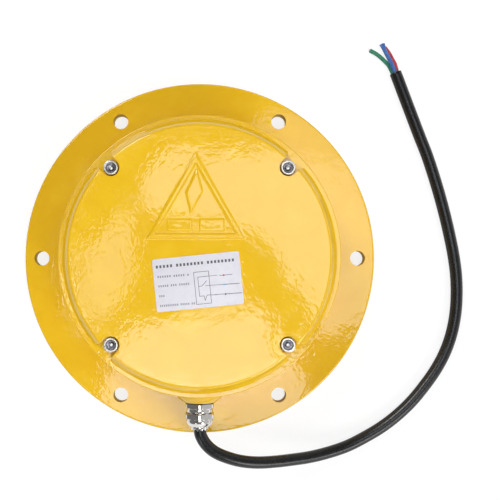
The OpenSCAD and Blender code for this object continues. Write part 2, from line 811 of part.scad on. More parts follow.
// Snap-action switch case with two ears for the lever's pin
module switch_case() {
  color([0.12, 0.12, 0.13]) difference() {
    union() {
      translate([switch_x, -switch_t / 2, switch_z]) cube([switch_depth, switch_t, switch_l]);
      for (side = [-1, 1]) translate([0, side * (lever_w / 2 + fit + ear_w / 2), 0]) {
        translate([pivot_x, ear_w / 2, pivot_z]) rotate([90, 0, 0]) cylinder(d = ear_d, h = ear_w);
        translate([pivot_x, -ear_w / 2, pivot_z - ear_d / 2])
          cube([switch_x - pivot_x + merge, ear_w, ear_d]);
      }
    }
    translate([pivot_x, switch_t, pivot_z]) rotate([90, 0, 0])
      cylinder(d = pin_d + 2 * fit, h = 2 * switch_t);
    translate([switch_x - merge, 0, button_z]) rotate([0, 90, 0])
      cylinder(d = button_d + 4 * fit, h = button_reach + merge);
    for (p = switch_holes) translate([p.x, switch_t, p.y]) rotate([90, 0, 0])
      cylinder(d = switch_hole_d + 2 * fit, h = 2 * switch_t);
  }
}

// The button's outer end rests on the lever; its bore is deep enough for its travel
module switch_button() {
  shift = travel * tan(taper_angle) * button_arm / lever_arm + 0.3;
  tip_h = button_d / 4;
  length = switch_x + button_reach - shift - lever_x - lever_t - fit;
  color([0.75, 0.12, 0.1]) translate([lever_x + lever_t + fit, 0, button_z]) rotate([0, 90, 0]) {
    cylinder(d1 = button_d / 3, d2 = button_d, h = tip_h);
    translate([0, 0, tip_h]) cylinder(d = button_d, h = length - tip_h);
  }
}

// Spring-steel lever: eye round the pin, flat strip, fork for the roller
module switch_lever() {
  fork_y = roller_w / 2 + fork_gap;
  color(steel) difference() {
    union() {
      translate([pivot_x, lever_w / 2, pivot_z]) rotate([90, 0, 0]) cylinder(d = eye_d, h = lever_w);
      translate([lever_x, -lever_w / 2, roller_z - lever_foot])
        cube([lever_t, lever_w, lever_arm + lever_foot]);
      for (side = [-1, 1]) translate([0, side > 0 ? fork_y : -fork_y - fork_t, 0]) {
        translate([roller_x, 0, roller_z - 2])
          cube([lever_x - roller_x + merge / 2, fork_t, 4]);
        translate([roller_x, fork_t, roller_z]) rotate([90, 0, 0]) cylinder(d = 4, h = fork_t);
      }
    }
    translate([pivot_x, lever_w, pivot_z]) rotate([90, 0, 0])
      cylinder(d = pin_d + 2 * fit, h = 2 * lever_w);
    translate([roller_x, lever_w, roller_z]) rotate([90, 0, 0])
      cylinder(d = pin_d + 2 * fit, h = 2 * lever_w);
  }
}

module lever_pin() {
  length = lever_w + 2 * (fit + ear_w) + 0.6;
  color(steel) translate([pivot_x, length / 2, pivot_z]) rotate([90, 0, 0])
    cylinder(d = pin_d, h = length);
}

module lever_roller() {
  color([0.9, 0.88, 0.82]) translate([roller_x, roller_w / 2, roller_z]) rotate([90, 0, 0])
    tube(roller_d, pin_d + 2 * fit, roller_w);
}

module roller_pin() {
  length = roller_w + 2 * (fork_gap + fork_t) + 0.6;
  color(steel) translate([roller_x, length / 2, roller_z]) rotate([90, 0, 0])
    cylinder(d = pin_d, h = length);
}

// Two screws through the switch case into nuts behind the bracket
module switch_screws() {
  head_d = 5.5;
  head_h = 2.2;
  color(steel) for (p = switch_holes) translate([p.x, -switch_t / 2, p.y]) rotate([-90, 0, 0])
    difference() {
      union() {
        cylinder(d = switch_hole_d, h = switch_t + bracket_t + 4);
        translate([0, 0, -head_h]) cylinder(d = head_d, h = head_h);
      }
      translate([-head_d, -0.4, -head_h - merge]) cube([2 * head_d, 0.8, merge + 1]);
    }
}

module switch_nuts() {
  color(steel) for (p = switch_holes)
    translate([p.x, bracket_y + bracket_t, p.y]) rotate([-90, 0, 0]) difference() {
      hexagon(switch_nut_af, switch_nut_h);
      translate([0, 0, -merge])
        cylinder(d = switch_hole_d + 2 * fit, h = switch_nut_h + 2 * merge);
    }
}

module switch_terminals() {
  color(brass_tone) for (z = blade_zs)
    translate([blade_x, -blade_w / 2, z - blade_t / 2]) cube([blade_len, blade_w, blade_t]);
}

// Insulated receptacles pushed on the blades, each with its crimped barrel
module terminal_sleeves() {
  slot = blade_t + 2 * fit;
  color([0.85, 0.2, 0.15]) for (z = blade_zs) translate([blade_x + 1, 0, z]) difference() {
    union() {
      translate([0, -receptacle_w / 2, -receptacle_h / 2])
        cube([receptacle_len, receptacle_w, receptacle_h]);
      translate([receptacle_len - merge, 0, 0]) rotate([0, 90, 0])
        cylinder(d = barrel_d, h = barrel_len + merge);
    }
    translate([-merge, -blade_w / 2 - fit, -slot / 2])
      cube([blade_len + merge, blade_w + 2 * fit, slot]);
  }
}

module gland_gasket() {
  color(rubber) on_gland(gland_seat)
    tube(gland_af, gland_thread_d + 2 * fit, gland_gasket_t);
}

// Threaded shank through the boss, hexagon, shoulder and neck for the nut
module gland_body() {
  shank = gland_body_y - thread_end_y;
  color(nickel) on_gland(thread_end_y) difference() {
    union() {
      cylinder(d = gland_thread_d, h = shank);
      translate([0, 0, shank]) rotate(30) hexagon(gland_af, gland_hex_len);
      translate([0, 0, shank + gland_hex_len])
        cylinder(d1 = gland_af - 0.6, d2 = gland_neck_d, h = gland_shoulder);
      translate([0, 0, shank]) cylinder(d = gland_neck_d, h = gland_neck_y - gland_body_y + neck_len);
    }
    translate([0, 0, -merge]) cylinder(d = gland_bore_d, h = gland_end_y);
    translate([0, 0, seal_y - thread_end_y]) cylinder(d = seal_d + 4 * fit, h = gland_end_y);
  }
}

module gland_seal() {
  color(rubber) on_gland(seal_y) tube(seal_d, cable_d + 2 * fit, seal_len);
}

// Cap nut: hexagon and a dome that closes on the cable
module gland_nut() {
  dome = gland_end_y - gland_nut_y - gland_nut_hex;
  pocket = gland_neck_y + neck_len + 0.5 - gland_nut_y;
  lip = gland_end_y - seal_y - seal_len;
  color(nickel) on_gland(gland_nut_y) difference() {
    union() {
      rotate(30) hexagon(gland_af, gland_nut_hex);
      translate([0, 0, gland_nut_hex]) rotate_extrude() polygon(rounded([
        [0, -merge, 0],
        [gland_af / 2, -merge, 0],
        [gland_af / 2, dome * 0.2, 0.6],
        [gland_tip_d / 2 + 1.4, dome * 0.85, 2],
        [gland_tip_d / 2, dome, 0],
        [0, dome, 0]]));
    }
    translate([0, 0, -merge]) cylinder(d = gland_neck_d + 2 * fit, h = pocket + merge);
    cylinder(d = seal_d + 4 * fit, h = gland_end_y - gland_nut_y - lip);
    cylinder(d = gland_bore_d, h = gland_end_y);
  }
}

module gland_locknut() {
  color(nickel) on_gland(boss_inner_y - locknut_t) difference() {
    rotate(30) hexagon(locknut_af, locknut_t);
    translate([0, 0, -merge]) cylinder(d = gland_thread_d + 2 * fit, h = locknut_t + 2 * merge);
  }
}

// The cable's stretch through the gland
module cable_inner() {
  color(rubber) on_gland(cable_inner_y) cylinder(d = cable_d, h = gland_end_y - cable_inner_y);
}

module inner_core_red() {
  color("red") swept(red_inner, core_d, 8, [0, 1, 0], [-1, 0, 0]);
}

module inner_core_blue() {
  color("royalblue") swept(blue_inner, core_d, 8, [0, 1, 0], [-1, 0, 0]);
}

module inner_core_green() {
  color("seagreen") swept(green_inner, core_d, 8, [0, 1, 0], [-1, 0, 0]);
}

module cable_sheath() {
  color(rubber) swept(cable_route, cable_d, 10, [0, -1, 0]);
}

module core_red() {
  color("red") swept(red_route, core_d, 8, heading(cable_route, len(cable_route) - 1));
}

module core_blue() {
  color("royalblue") swept(blue_route, core_d, 8, heading(cable_route, len(cable_route) - 1));
}

module core_green() {
  color("seagreen") swept(green_route, core_d, 8, heading(cable_route, len(cable_route) - 1));
}

housing();
rear_cover();
cover_gasket();
cover_screws();
label();
clamp_ring();
clamp_screws();
diaphragm();
push_plate();
backing_plate();
plunger_rod();
clamp_sleeve();
stop_nut();
return_spring();
bridge();
bridge_screws();
guide_bush();
switch_bracket();
bracket_screws();
switch_case();
switch_button();
switch_lever();
lever_pin();
lever_roller();
roller_pin();
switch_screws();
switch_nuts();
switch_terminals();
terminal_sleeves();
gland_gasket();
gland_body();
gland_seal();
gland_nut();
gland_locknut();
cable_inner();
inner_core_red();
inner_core_blue();
inner_core_green();
cable_sheath();
core_red();
core_blue();
core_green();
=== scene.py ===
"""Looks for the chute blockage switch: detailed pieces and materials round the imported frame.

Lengths in the piece builders are millimetres and become metres in mesh_object().
"""
import math

import bmesh
import bpy
import numpy as np
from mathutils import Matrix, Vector

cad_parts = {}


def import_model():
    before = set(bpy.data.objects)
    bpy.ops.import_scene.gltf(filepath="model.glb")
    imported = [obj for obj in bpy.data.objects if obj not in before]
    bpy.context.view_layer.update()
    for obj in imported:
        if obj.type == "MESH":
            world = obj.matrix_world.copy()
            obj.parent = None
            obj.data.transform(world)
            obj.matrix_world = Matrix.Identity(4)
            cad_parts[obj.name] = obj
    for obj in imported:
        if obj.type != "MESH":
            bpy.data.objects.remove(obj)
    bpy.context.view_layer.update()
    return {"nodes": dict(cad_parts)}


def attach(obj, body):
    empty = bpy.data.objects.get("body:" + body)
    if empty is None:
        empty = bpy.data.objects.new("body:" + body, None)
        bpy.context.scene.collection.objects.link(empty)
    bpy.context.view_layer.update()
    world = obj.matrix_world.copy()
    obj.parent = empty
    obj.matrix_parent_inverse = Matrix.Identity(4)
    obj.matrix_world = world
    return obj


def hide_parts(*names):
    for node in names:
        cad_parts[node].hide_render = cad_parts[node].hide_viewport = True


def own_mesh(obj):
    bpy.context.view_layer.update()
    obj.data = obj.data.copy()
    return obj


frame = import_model()
NODES = frame["nodes"]
MM = 0.001
TAU = 2 * math.pi

# Radii and heights in millimetres, as in the solids
FLANGE_R, FLANGE_T = 130.0, 10.0
DRUM_R, DRUM_IN_R = 93.5, 88.5
RECESS_R, RECESS_TOP = 84.0, 13.0
OPENING_R, FLOOR_TOP = 64.0, 21.0
CASE_H, COVER_Z, LEDGE_Z, PLATEAU_Z = 58.0, 59.5, 63.0, 70.0
COVER_R, PLATEAU_R = 96.0, 88.4
RING_R, RING_IN_R, RING_T = 83.5, 67.0, 10.0
DIAPHRAGM_R, PLATE_R = 83.4, 50.0
HEAD_R, HEAD_LOW, HEAD_TOP = 5.0, 63.0, 69.0
BOLT_HOLE_R, SCREW_HOLE_R, RING_HOLE_R = 5.5, 3.3, 2.7
CABLE_D, CORE_D = 9.0, 3.0

# The gland: height of its axis, the boss's face and where its pieces start, from the case's middle
GLAND_Z, GLAND_SEAT = 36.0, 102.5
GLAND_BODY_START, GLAND_LOCKNUT_START, GLAND_NUT_START = 79, 80, 110.3
GLAND_HEX, GLAND_STEP_HEX, LOCKNUT_HEX = 20, 18.6, 23
GLAND_SHANK_R, GLAND_BORE_R, GLAND_SEAL_R = 9.3, 4.9, 6.4
GLAND_HOLE_R = 9.35

# Circles of the bolt holes, the cover's screws and the clamp ring's screws
BOLT_R, SCREW_R, RING_SCREW_R = 117.5, 84.15, 77.5
BOLT_ANGLES = [TAU * i / 6 for i in range(6)]
SCREW_ANGLES = [math.radians(45 + 90 * i) for i in range(4)]
RING_SCREW_ANGLES = [math.radians(22.5 + 45 * i) for i in range(8)]

# Middle lines of the cable and its cores, the points of the solids' routes
CABLE_ROUTE = [
    (0, -122.5, 36), (1, -127, 36), (4.5, -133, 35.5), (10.5, -138.5, 34.5), (18.5, -142.5, 33),
    (29, -146, 30.5), (41, -148, 27), (54, -148.5, 22.5), (68, -148, 18), (82, -147, 13.5),
    (96, -144.5, 9.8), (110, -140.5, 7), (123, -134.5, 5.4), (136, -127, 4.7), (148, -118, 4.5),
    (159, -107.5, 4.5), (168.5, -96, 4.5), (177, -84, 4.5), (184, -71, 4.5), (189, -57, 4.5),
    (192, -42, 4.5), (193, -27, 4.5), (192.5, -12, 4.5), (190.5, 3, 4.5), (187.5, 18, 4.5),
    (184, 33, 4.5), (180, 48, 4.5), (175.5, 63, 4.5), (170.5, 78, 4.5), (165, 92, 4.5),
    (159.5, 106.5, 4.5), (154, 121, 4.5), (149.5, 133, 4.5), (147, 139.5, 4.5)]
RED_ROUTE = [(148.5, 140.2, 3.4), (147.3, 146, 2.6), (145, 151, 1.8), (142.6, 155.4, 1.6),
             (139.5, 159.4, 1.6)]
BLUE_ROUTE = [(146.3, 139.3, 6.4), (143.4, 146.6, 6.1), (141, 151.5, 5.6), (138.8, 156.2, 5.2),
              (136.8, 161, 5)]
GREEN_ROUTE = [(145.4, 138.9, 3.2), (142.4, 145.4, 2.6), (139, 149.4, 2), (135.2, 153, 1.6),
               (131.8, 155.3, 1.6), (128.4, 157, 1.6)]


# Camera in metres, fitted to the photograph: it looks straight down, and its picture is shifted
CAMERA_X, CAMERA_Y, CAMERA_Z = 0.00187, -0.01322, 0.5974
SENSOR, LENS = 36, 56.81
SHIFT_X, SHIFT_Y = 0.09546, 0.0521


def add_camera():
    """Camera of the main view."""
    data = bpy.data.cameras.new("camera")
    data.sensor_width = SENSOR
    data.lens = LENS
    data.shift_x = SHIFT_X
    data.shift_y = SHIFT_Y
    data.clip_start = 0.02
    camera = bpy.data.objects.new("camera", data)
    camera.location = (CAMERA_X, CAMERA_Y, CAMERA_Z)
    bpy.context.scene.collection.objects.link(camera)
    bpy.context.scene.camera = camera


add_camera()


# Mesh helpers

def mesh_object(name, verts, faces, mats, angle=32, face_mats=None):
    """Object from points in millimetres, smooth except over edges sharper than angle."""
    mesh = bpy.data.meshes.new(name)
    points = np.asarray(verts, float) * MM
    mesh.from_pydata(points.tolist(), [], [list(map(int, f)) for f in faces])
    obj = bpy.data.objects.new(name, mesh)
    bpy.context.scene.collection.objects.link(obj)
    for mat in (mats if isinstance(mats, (list, tuple)) else [mats]):
        mesh.materials.append(mat)
    if face_mats is not None:
        mesh.polygons.foreach_set("material_index", face_mats)
    outward(obj)
    shade(obj, angle)
    return obj


def outward(obj):
    """Turns the faces outwards."""
    bm = bmesh.new()
    bm.from_mesh(obj.data)
    bmesh.ops.recalc_face_normals(bm, faces=bm.faces)
    bm.to_mesh(obj.data)
    bm.free()


def shade(obj, angle):
    """Smooth faces, sharp where two meet at more than angle degrees."""
    obj.data.polygons.foreach_set("use_smooth", [True] * len(obj.data.polygons))
    obj.data.set_sharp_from_angle(angle=math.radians(angle))
    obj.data.update()


def bake(obj):
    """Applies the modifiers."""
    deps = bpy.context.evaluated_depsgraph_get()
    mesh = bpy.data.meshes.new_from_object(obj.evaluated_get(deps))
    obj.modifiers.clear()
    old = obj.data
    obj.data = mesh
    mesh.name = obj.name
    bpy.data.meshes.remove(old)


def boolean(obj, operation, *parts):
    """Joins parts to the object or cuts them from it. Each part is (verts, faces)."""
    tool = mesh_object("tool", *merge_parts(parts), obj.data.materials[0])
    mod = obj.modifiers.new("boolean", "BOOLEAN")
    mod.operation = operation
    mod.solver = "EXACT"
    mod.object = tool
    bake(obj)
    bpy.data.objects.remove(tool)


def soften(obj, width, segments=3, angle=40):
    """Rounds the sharp edges."""
    mod = obj.modifiers.new("bevel", "BEVEL")
    mod.width = width * MM
    mod.segments = segments
    mod.limit_method = "ANGLE"
    mod.angle_limit = math.radians(angle)
    mod.use_clamp_overlap = True
    bake(obj)


def flat_normals(obj):
    """Keeps large flat faces flat beside their rounded edges."""
    mod = obj.modifiers.new("normals", "WEIGHTED_NORMAL")
    mod.keep_sharp = True
    mod.weight = 100


def take_apart(obj):
    """Verts in millimetres and faces of an object, which is removed."""
    verts = np.array([v.co[:] for v in obj.data.vertices]) / MM
    faces = [tuple(p.vertices) for p in obj.data.polygons]
    bpy.data.objects.remove(obj)
    return verts, faces


def rounded(path, steps=6):
    """Closed outline through points (x, y, corner radius), with steps in each round corner."""
    out = []
    for i, (x, y, r) in enumerate(path):
        b = np.array([x, y], float)
        if r <= 0:
            out.append((x, y))
            continue
        a = np.array(path[i - 1][:2], float) - b
        c = np.array(path[(i + 1) % len(path)][:2], float) - b
        a /= np.linalg.norm(a)
        c /= np.linalg.norm(c)
        half = math.acos(max(-1, min(1, a @ c))) / 2
        mid = b + (a + c) / np.linalg.norm(a + c) * r / math.sin(half)
        start = b + a * r / math.tan(half) - mid
        stop = b + c * r / math.tan(half) - mid
        t0 = math.atan2(start[1], start[0])
        turn = (math.atan2(stop[1], stop[0]) - t0 + math.pi) % TAU - math.pi
        for k in range(steps + 1):
            t = t0 + turn * k / steps
            out.append((mid[0] + r * math.cos(t), mid[1] + r * math.sin(t)))
    return out


def lathe(profile, count, closed=True, flute=None):
    """Verts and faces of a profile (r, z) turned round Z. Points on the axis become poles, and
    flute(r, z, angle) may change the radius round the turn."""
    verts, faces, rings = [], [], []
    angles = [TAU * k / count for k in range(count)]
    for r, z in profile:
        if r < 1e-6:
            rings.append([len(verts)])
            verts.append((0, 0, z))
            continue
        rings.append(list(range(len(verts), len(verts) + count)))
        for t in angles:
            s = r if flute is None else flute(r, z, t)
            verts.append((s * math.cos(t), s * math.sin(t), z))
    pairs = list(zip(rings, rings[1:] + rings[:1] if closed else rings[1:]))
    for a, b in pairs:
        if len(a) == 1 and len(b) == 1:
            continue
        for k in range(count):
            n = (k + 1) % count
            if len(a) == 1:
                faces.append((a[0], b[n], b[k]))
            elif len(b) == 1:
                faces.append((a[k], a[n], b[0]))
            else:
                faces.append((a[k], a[n], b[n], b[k]))
    return verts, faces


def merge_parts(parts):
    """One list of verts and faces from several."""
    verts, faces = [], []
    for v, f in parts:
        base = len(verts)
        verts.extend(map(tuple, v))
        faces.extend(tuple(i + base for i in face) for face in f)
    return verts, faces


def moved(part, shift=(0, 0, 0), turn=0.0):
    """The part turned round its own Z and then shifted."""
    v = np.asarray(part[0], float)
    c, s = math.cos(turn), math.sin(turn)
    v = v @ np.array([[c, s, 0], [-s, c, 0], [0, 0, 1]]) + np.array(shift, float)
    return v, part[1]


def along_y(part, from_y):
    """Stands a part that is turned round Z on the gland's axis, its z running out of the case."""
    v = np.asarray(part[0], float)
    return np.column_stack([v[:, 0], -from_y - v[:, 2], GLAND_Z + v[:, 1]]), part[1]


def rod(r, z0, z1, count, x=0.0, y=0.0):
    """Upright cylinder at x, y, between two heights."""
    return moved(lathe([(0, z0), (r, z0), (r, z1), (0, z1)], count, closed=False), (x, y, 0))


def on_circle(part, r, angles, turns=None):
    """Copies of a part on a circle, each turned round its own Z by its value of turns."""
    return [moved(part, (r * math.cos(t), r * math.sin(t), 0), turn)
            for t, turn in zip(angles, turns or [0.0] * len(angles))]


def prism(outline, z0, z1):
    """Upright solid over a closed outline."""
    n = len(outline)
    verts = [(x, y, z0) for x, y in outline] + [(x, y, z1) for x, y in outline]
    faces = [tuple(range(n))[::-1], tuple(range(n, 2 * n))]
    faces += [(i, (i + 1) % n, n + (i + 1) % n, n + i) for i in range(n)]
    return verts, faces


def hexagon(flats, turn=0.0):
    """Outline of a hexagon, flats wide across its flats."""
    r = flats / 2 / math.cos(math.pi / 6)
    return [(r * math.cos(turn + k * math.pi / 3), r * math.sin(turn + k * math.pi / 3))
            for k in range(6)]


def hexagons(*zones):
    """Flute that cuts a turned piece down to a hexagon in each zone: (from, to, width across flats,
    how far the sides stand proud). A flat lies at 0 degrees."""
    def flute(r, z, t):
        off_flat = (t + math.pi / 6) % (math.pi / 3) - math.pi / 6
        for low, high, flats, proud in zones:
            if low < z < high:
                return min(r, flats / 2 / math.cos(off_flat) + proud)
        return r
    return flute


def spline(route, step):
    """Evenly spaced points on a smooth curve through the route's points."""
    p = np.asarray(route, float)
    p = np.vstack([2 * p[0] - p[1], p, 2 * p[-1] - p[-2]])
    out = []
    for i in range(1, len(p) - 2):
        a, b, c, d = p[i - 1:i + 3]
        for t in np.linspace(0, 1, 24, endpoint=False):
            out.append(0.5 * (2 * b + (c - a) * t + (2 * a - 5 * b + 4 * c - d) * t * t
                              + (3 * b - a - 3 * c + d) * t ** 3))
    out.append(p[-2])
    out = np.array(out)
    run = np.concatenate([[0], np.cumsum(np.linalg.norm(np.diff(out, axis=0), axis=1))])
    count = max(2, int(round(run[-1] / step)) + 1)
    marks = np.linspace(0, run[-1], count)
    return np.column_stack([np.interp(marks, run, out[:, k]) for k in range(3)])


def tube_rings(path, radius, sides, first=None, squeeze=None):
    """Rings round a path. first is the direction at its start, and squeeze gives each ring's
    (wide, thin) factors."""
    n = len(path)
    rings = []
    for i in range(n):
        along = path[min(i + 1, n - 1)] - path[max(i - 1, 0)]
        if i == 0 and first is not None:
            along = np.asarray(first, float)
        along /= np.linalg.norm(along)
        across = np.cross(along, (0, 0, 1))
        across /= np.linalg.norm(across)
        up = np.cross(across, along)
        wide, thin = (1, 1) if squeeze is None else squeeze[i]
        t = np.arange(sides) * TAU / sides
        rings.append(path[i] + radius * (np.outer(np.sin(t) * wide, across)
                                         - np.outer(np.cos(t) * thin, up)))
    return rings


def loft(rings):
    """Skin over rings of equally many points, closed at both ends."""
    count, sides = len(rings), len(rings[0])
    verts = np.vstack(rings)
    faces = []
    for i in range(count - 1):
        a, b = i * sides, (i + 1) * sides
        faces += [(a + k, b + k, b + (k + 1) % sides, a + (k + 1) % sides) for k in range(sides)]
    faces.append(tuple(range(sides))[::-1])
    faces.append(tuple(range((count - 1) * sides, count * sides)))
    return verts, faces


# Shader nodes

def shader(tree, kind, *inputs, operation=None, **named):
    """Outputs of a new shader node. Its inputs, in order or by name, are values or the outputs of
    other nodes."""
    made = tree.nodes.new("ShaderNode" + kind)
    if operation:
        made.operation = operation
    sockets = list(zip(made.inputs, inputs)) + [(made.inputs[key], named[key]) for key in named]
    for socket, value in sockets:
        if isinstance(value, bpy.types.NodeSocket):
            tree.links.new(value, socket)
        else:
            socket.default_value = value
    return made.outputs


def colour_ramp(tree, value, tones):
    """Colour that follows a value through tones, given as (position, colour)."""
    made = tree.nodes.new("ShaderNodeValToRGB")
    stops = made.color_ramp.elements
    for i, (at, colour) in enumerate(tones):
        stop = stops[i] if i < 2 else stops.new(at)
        stop.position = at
        stop.color = (*colour, 1)
    tree.links.new(value, made.inputs["Fac"])
    return made.outputs["Color"]


def bare_material(name):
    """Material with nothing but its output, with its node tree and the output's socket."""
    mat = bpy.data.materials.new(name)
    mat.use_nodes = True
    mat.node_tree.nodes.clear()
    out = mat.node_tree.nodes.new("ShaderNodeOutputMaterial")
    return mat, mat.node_tree, out.inputs["Surface"]


# Materials

# Most of a noise lies between these values
NOISE_LOW, NOISE_HIGH = 0.3, 0.7


def look(name, tones, mottle, rough, bumps, metallic=0.0, **sockets):
    """Procedural finish: tones mixed over patches of size mottle (mm), roughness from rough[0] to
    rough[1], and layers of relief as (size mm, depth mm, detail)."""
    mat = bpy.data.materials.new(name)
    mat.use_nodes = True
    tree = mat.node_tree
    bsdf = tree.nodes["Principled BSDF"]
    bsdf.inputs["Metallic"].default_value = metallic
    for key, value in sockets.items():
        bsdf.inputs[key.replace("_", " ")].default_value = value
    coords = shader(tree, "TexCoord")["Object"]

    def noise(size, detail, shift=0.0):
        """Noise of a size in millimetres. shift keeps two layers of it apart."""
        away = (shift, 2 * shift, 3 * shift)
        where = shader(tree, "Mapping", Vector=coords, Location=away)["Vector"]
        return shader(tree, "TexNoise", Vector=where, Scale=1 / (size * MM), Detail=detail,
                      Roughness=0.55)["Fac"]

    marks = np.linspace(NOISE_LOW, NOISE_HIGH, len(tones)).tolist()
    colour = colour_ramp(tree, noise(mottle, 4.0), list(zip(marks, tones)))
    tree.links.new(colour, bsdf.inputs["Base Color"])
    fine = noise(mottle * 0.4, 3.0, 0.37)
    roughness = shader(tree, "MapRange", fine, NOISE_LOW, NOISE_HIGH, *rough)["Result"]
    tree.links.new(roughness, bsdf.inputs["Roughness"])

    under = {}
    for i, (size, depth, detail) in enumerate(bumps):
        height = noise(size, detail, 0.11 * (i + 1))
        normal = shader(tree, "Bump", Strength=1, Distance=depth * MM, Height=height,
                        **under)["Normal"]
        under = {"Normal": normal}
    tree.links.new(normal, bsdf.inputs["Normal"])
    return mat


PAINT = look("yellow_paint", [(0.82, 0.50, 0.013), (0.80, 0.47, 0.010), (0.84, 0.52, 0.017)], 34,
             (0.04, 0.075), [(26, 0.15, 1.0), (7.5, 0.055, 1.0), (2.8, 0.05, 1.0)],
             Specular_IOR_Level=0.55)
# Walls of the bolt holes: their darker brown is painted shade inside the holes, and the paint there
# is also rougher
HOLE_PAINTED_SHADE = look("hole_wall_painted_shade", [(0.50, 0.335, 0.035), (0.42, 0.28, 0.025)], 5, (0.6, 0.8),
                  [(2.5, 0.05, 2.0)], Specular_IOR_Level=0.15)
RUBBER = look("black_rubber", [(0.012, 0.012, 0.012), (0.026, 0.025, 0.024)], 6, (0.5, 0.68),
              [(1.2, 0.03, 3.0), (9, 0.08, 2.0)])
STAINLESS = look("stainless", [(0.62, 0.59, 0.545), (0.74, 0.71, 0.655)], 3, (0.27, 0.40),
                 [(0.5, 0.006, 2.0)], 1.0)
# Dark steel inside the screws' sockets: painted shade in the recess, together with the darker oxide
# of its floor
SOCKET_SHADE_AND_OXIDE = look("socket_painted_shade_and_oxide", [(0.10, 0.095, 0.11), (0.30, 0.29, 0.31)], 1.6, (0.22, 0.4),
              [(0.6, 0.02, 2.0)], 1.0)
MACHINED = look("machined_steel", [(0.52, 0.52, 0.51), (0.62, 0.62, 0.61)], 8, (0.24, 0.40),
                [(0.35, 0.006, 2.0), (12, 0.03, 1.0)], 1.0)
ZINC = look("zinc_steel", [(0.62, 0.63, 0.64), (0.52, 0.54, 0.58), (0.68, 0.66, 0.60)], 9,
            (0.28, 0.45), [(0.9, 0.008, 3.0)], 1.0)
SPRING = look("spring_steel", [(0.34, 0.33, 0.32), (0.46, 0.45, 0.44)], 2, (0.22, 0.36),
              [(0.4, 0.006, 2.0)], 1.0)
BRASS = look("brass", [(0.72, 0.50, 0.20), (0.80, 0.60, 0.28)], 3, (0.22, 0.36),
             [(0.4, 0.006, 2.0)], 1.0)
NICKEL = look("nickel", [(0.66, 0.64, 0.61), (0.74, 0.72, 0.69)], 4, (0.06, 0.14),
              [(0.9, 0.006, 2.0), (4, 0.02, 1.0)], 1.0)
FILM = look("label_film", [(0.63, 0.605, 0.655), (0.67, 0.65, 0.695), (0.64, 0.615, 0.665)], 7,
            (0.13, 0.20), [(0.5, 0.004, 2.0), (14, 0.05, 1.0)])
INK = look("label_ink", [(0.055, 0.055, 0.065), (0.11, 0.11, 0.125)], 0.8, (0.4, 0.55),
           [(0.3, 0.003, 2.0)])
INK_PALE = look("label_ink_pale", [(0.16, 0.16, 0.19), (0.27, 0.27, 0.31)], 0.7, (0.4, 0.55),
                [(0.3, 0.003, 2.0)])
INK_RED = look("label_ink_red", [(0.35, 0.03, 0.05), (0.55, 0.06, 0.08)], 0.6, (0.4, 0.5),
               [(0.3, 0.003, 2.0)])
INK_BLUE = look("label_ink_blue", [(0.10, 0.42, 0.60), (0.20, 0.55, 0.72)], 0.6, (0.4, 0.5),
                [(0.3, 0.003, 2.0)])
CABLE = look("cable_black", [(0.004, 0.004, 0.0045), (0.008, 0.008, 0.009)], 5, (0.24, 0.34),
             [(1.1, 0.012, 2.0), (6, 0.05, 1.0)], Specular_IOR_Level=0.42)
CORE_RED = look("core_red", [(0.36, 0.025, 0.035), (0.50, 0.045, 0.055)], 2.5, (0.3, 0.42),
                [(0.9, 0.02, 2.0)])
CORE_BLUE = look("core_blue", [(0.035, 0.10, 0.34), (0.06, 0.17, 0.46)], 2.5, (0.3, 0.42),
                 [(0.9, 0.02, 2.0)])
CORE_GREEN = look("core_green", [(0.012, 0.15, 0.085), (0.03, 0.24, 0.14)], 2.5, (0.3, 0.42),
                  [(0.9, 0.02, 2.0)])
TINNED = look("tinned_strands", [(0.34, 0.33, 0.33), (0.50, 0.49, 0.48)], 0.6, (0.3, 0.45),
              [(0.35, 0.05, 1.0)], 1.0)
DARK_PLASTIC = look("switch_plastic", [(0.010, 0.010, 0.011), (0.022, 0.022, 0.024)], 2,
                    (0.38, 0.5), [(0.4, 0.01, 2.0)])
RED_PLASTIC = look("sleeve_plastic", [(0.50, 0.03, 0.02), (0.62, 0.06, 0.04)], 2, (0.3, 0.42),
                   [(0.6, 0.01, 2.0)])
BUTTON_PLASTIC = look("button_plastic", [(0.42, 0.02, 0.015), (0.54, 0.04, 0.03)], 1.5, (0.3, 0.4),
                      [(0.5, 0.008, 2.0)])
ROLLER_PLASTIC = look("roller_plastic", [(0.70, 0.66, 0.55), (0.80, 0.77, 0.68)], 2, (0.35, 0.5),
                      [(0.5, 0.01, 2.0)])


def place(obj, slot, *nodes, body="case"):
    """Puts a piece on its body, in place of the CAD nodes, which it hides. Its slot is not used."""
    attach(obj, body)
    if nodes:
        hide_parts(*nodes)
    return obj


# Free cable and its cores

def cable():
    """Sheath with an open cut end, from the gland's mouth along the route."""
    step, sides, undersize = 1.6, 28, 0.08
    bore, bore_depth, edge = 0.72, 3.0, 0.25
    path = spline(CABLE_ROUTE, step)
    rings = tube_rings(path, CABLE_D / 2 - undersize, sides, first=(0, -1, 0))
    end = path[-1]
    back = path[-2] - path[-1]
    back /= np.linalg.norm(back)
    out = rings[-1] - end
    rings[-1] = rings[-1] + back * edge
    rings += [end + out * 0.96, end + out * (bore + 0.04), end + out * bore + back * 0.3,
              end + out * bore + back * bore_depth]
    piece = mesh_object("cable_sheath_soft", *loft(rings), CABLE, 40)
    place(piece, "cable_black", "cable_sheath")
    return piece, path


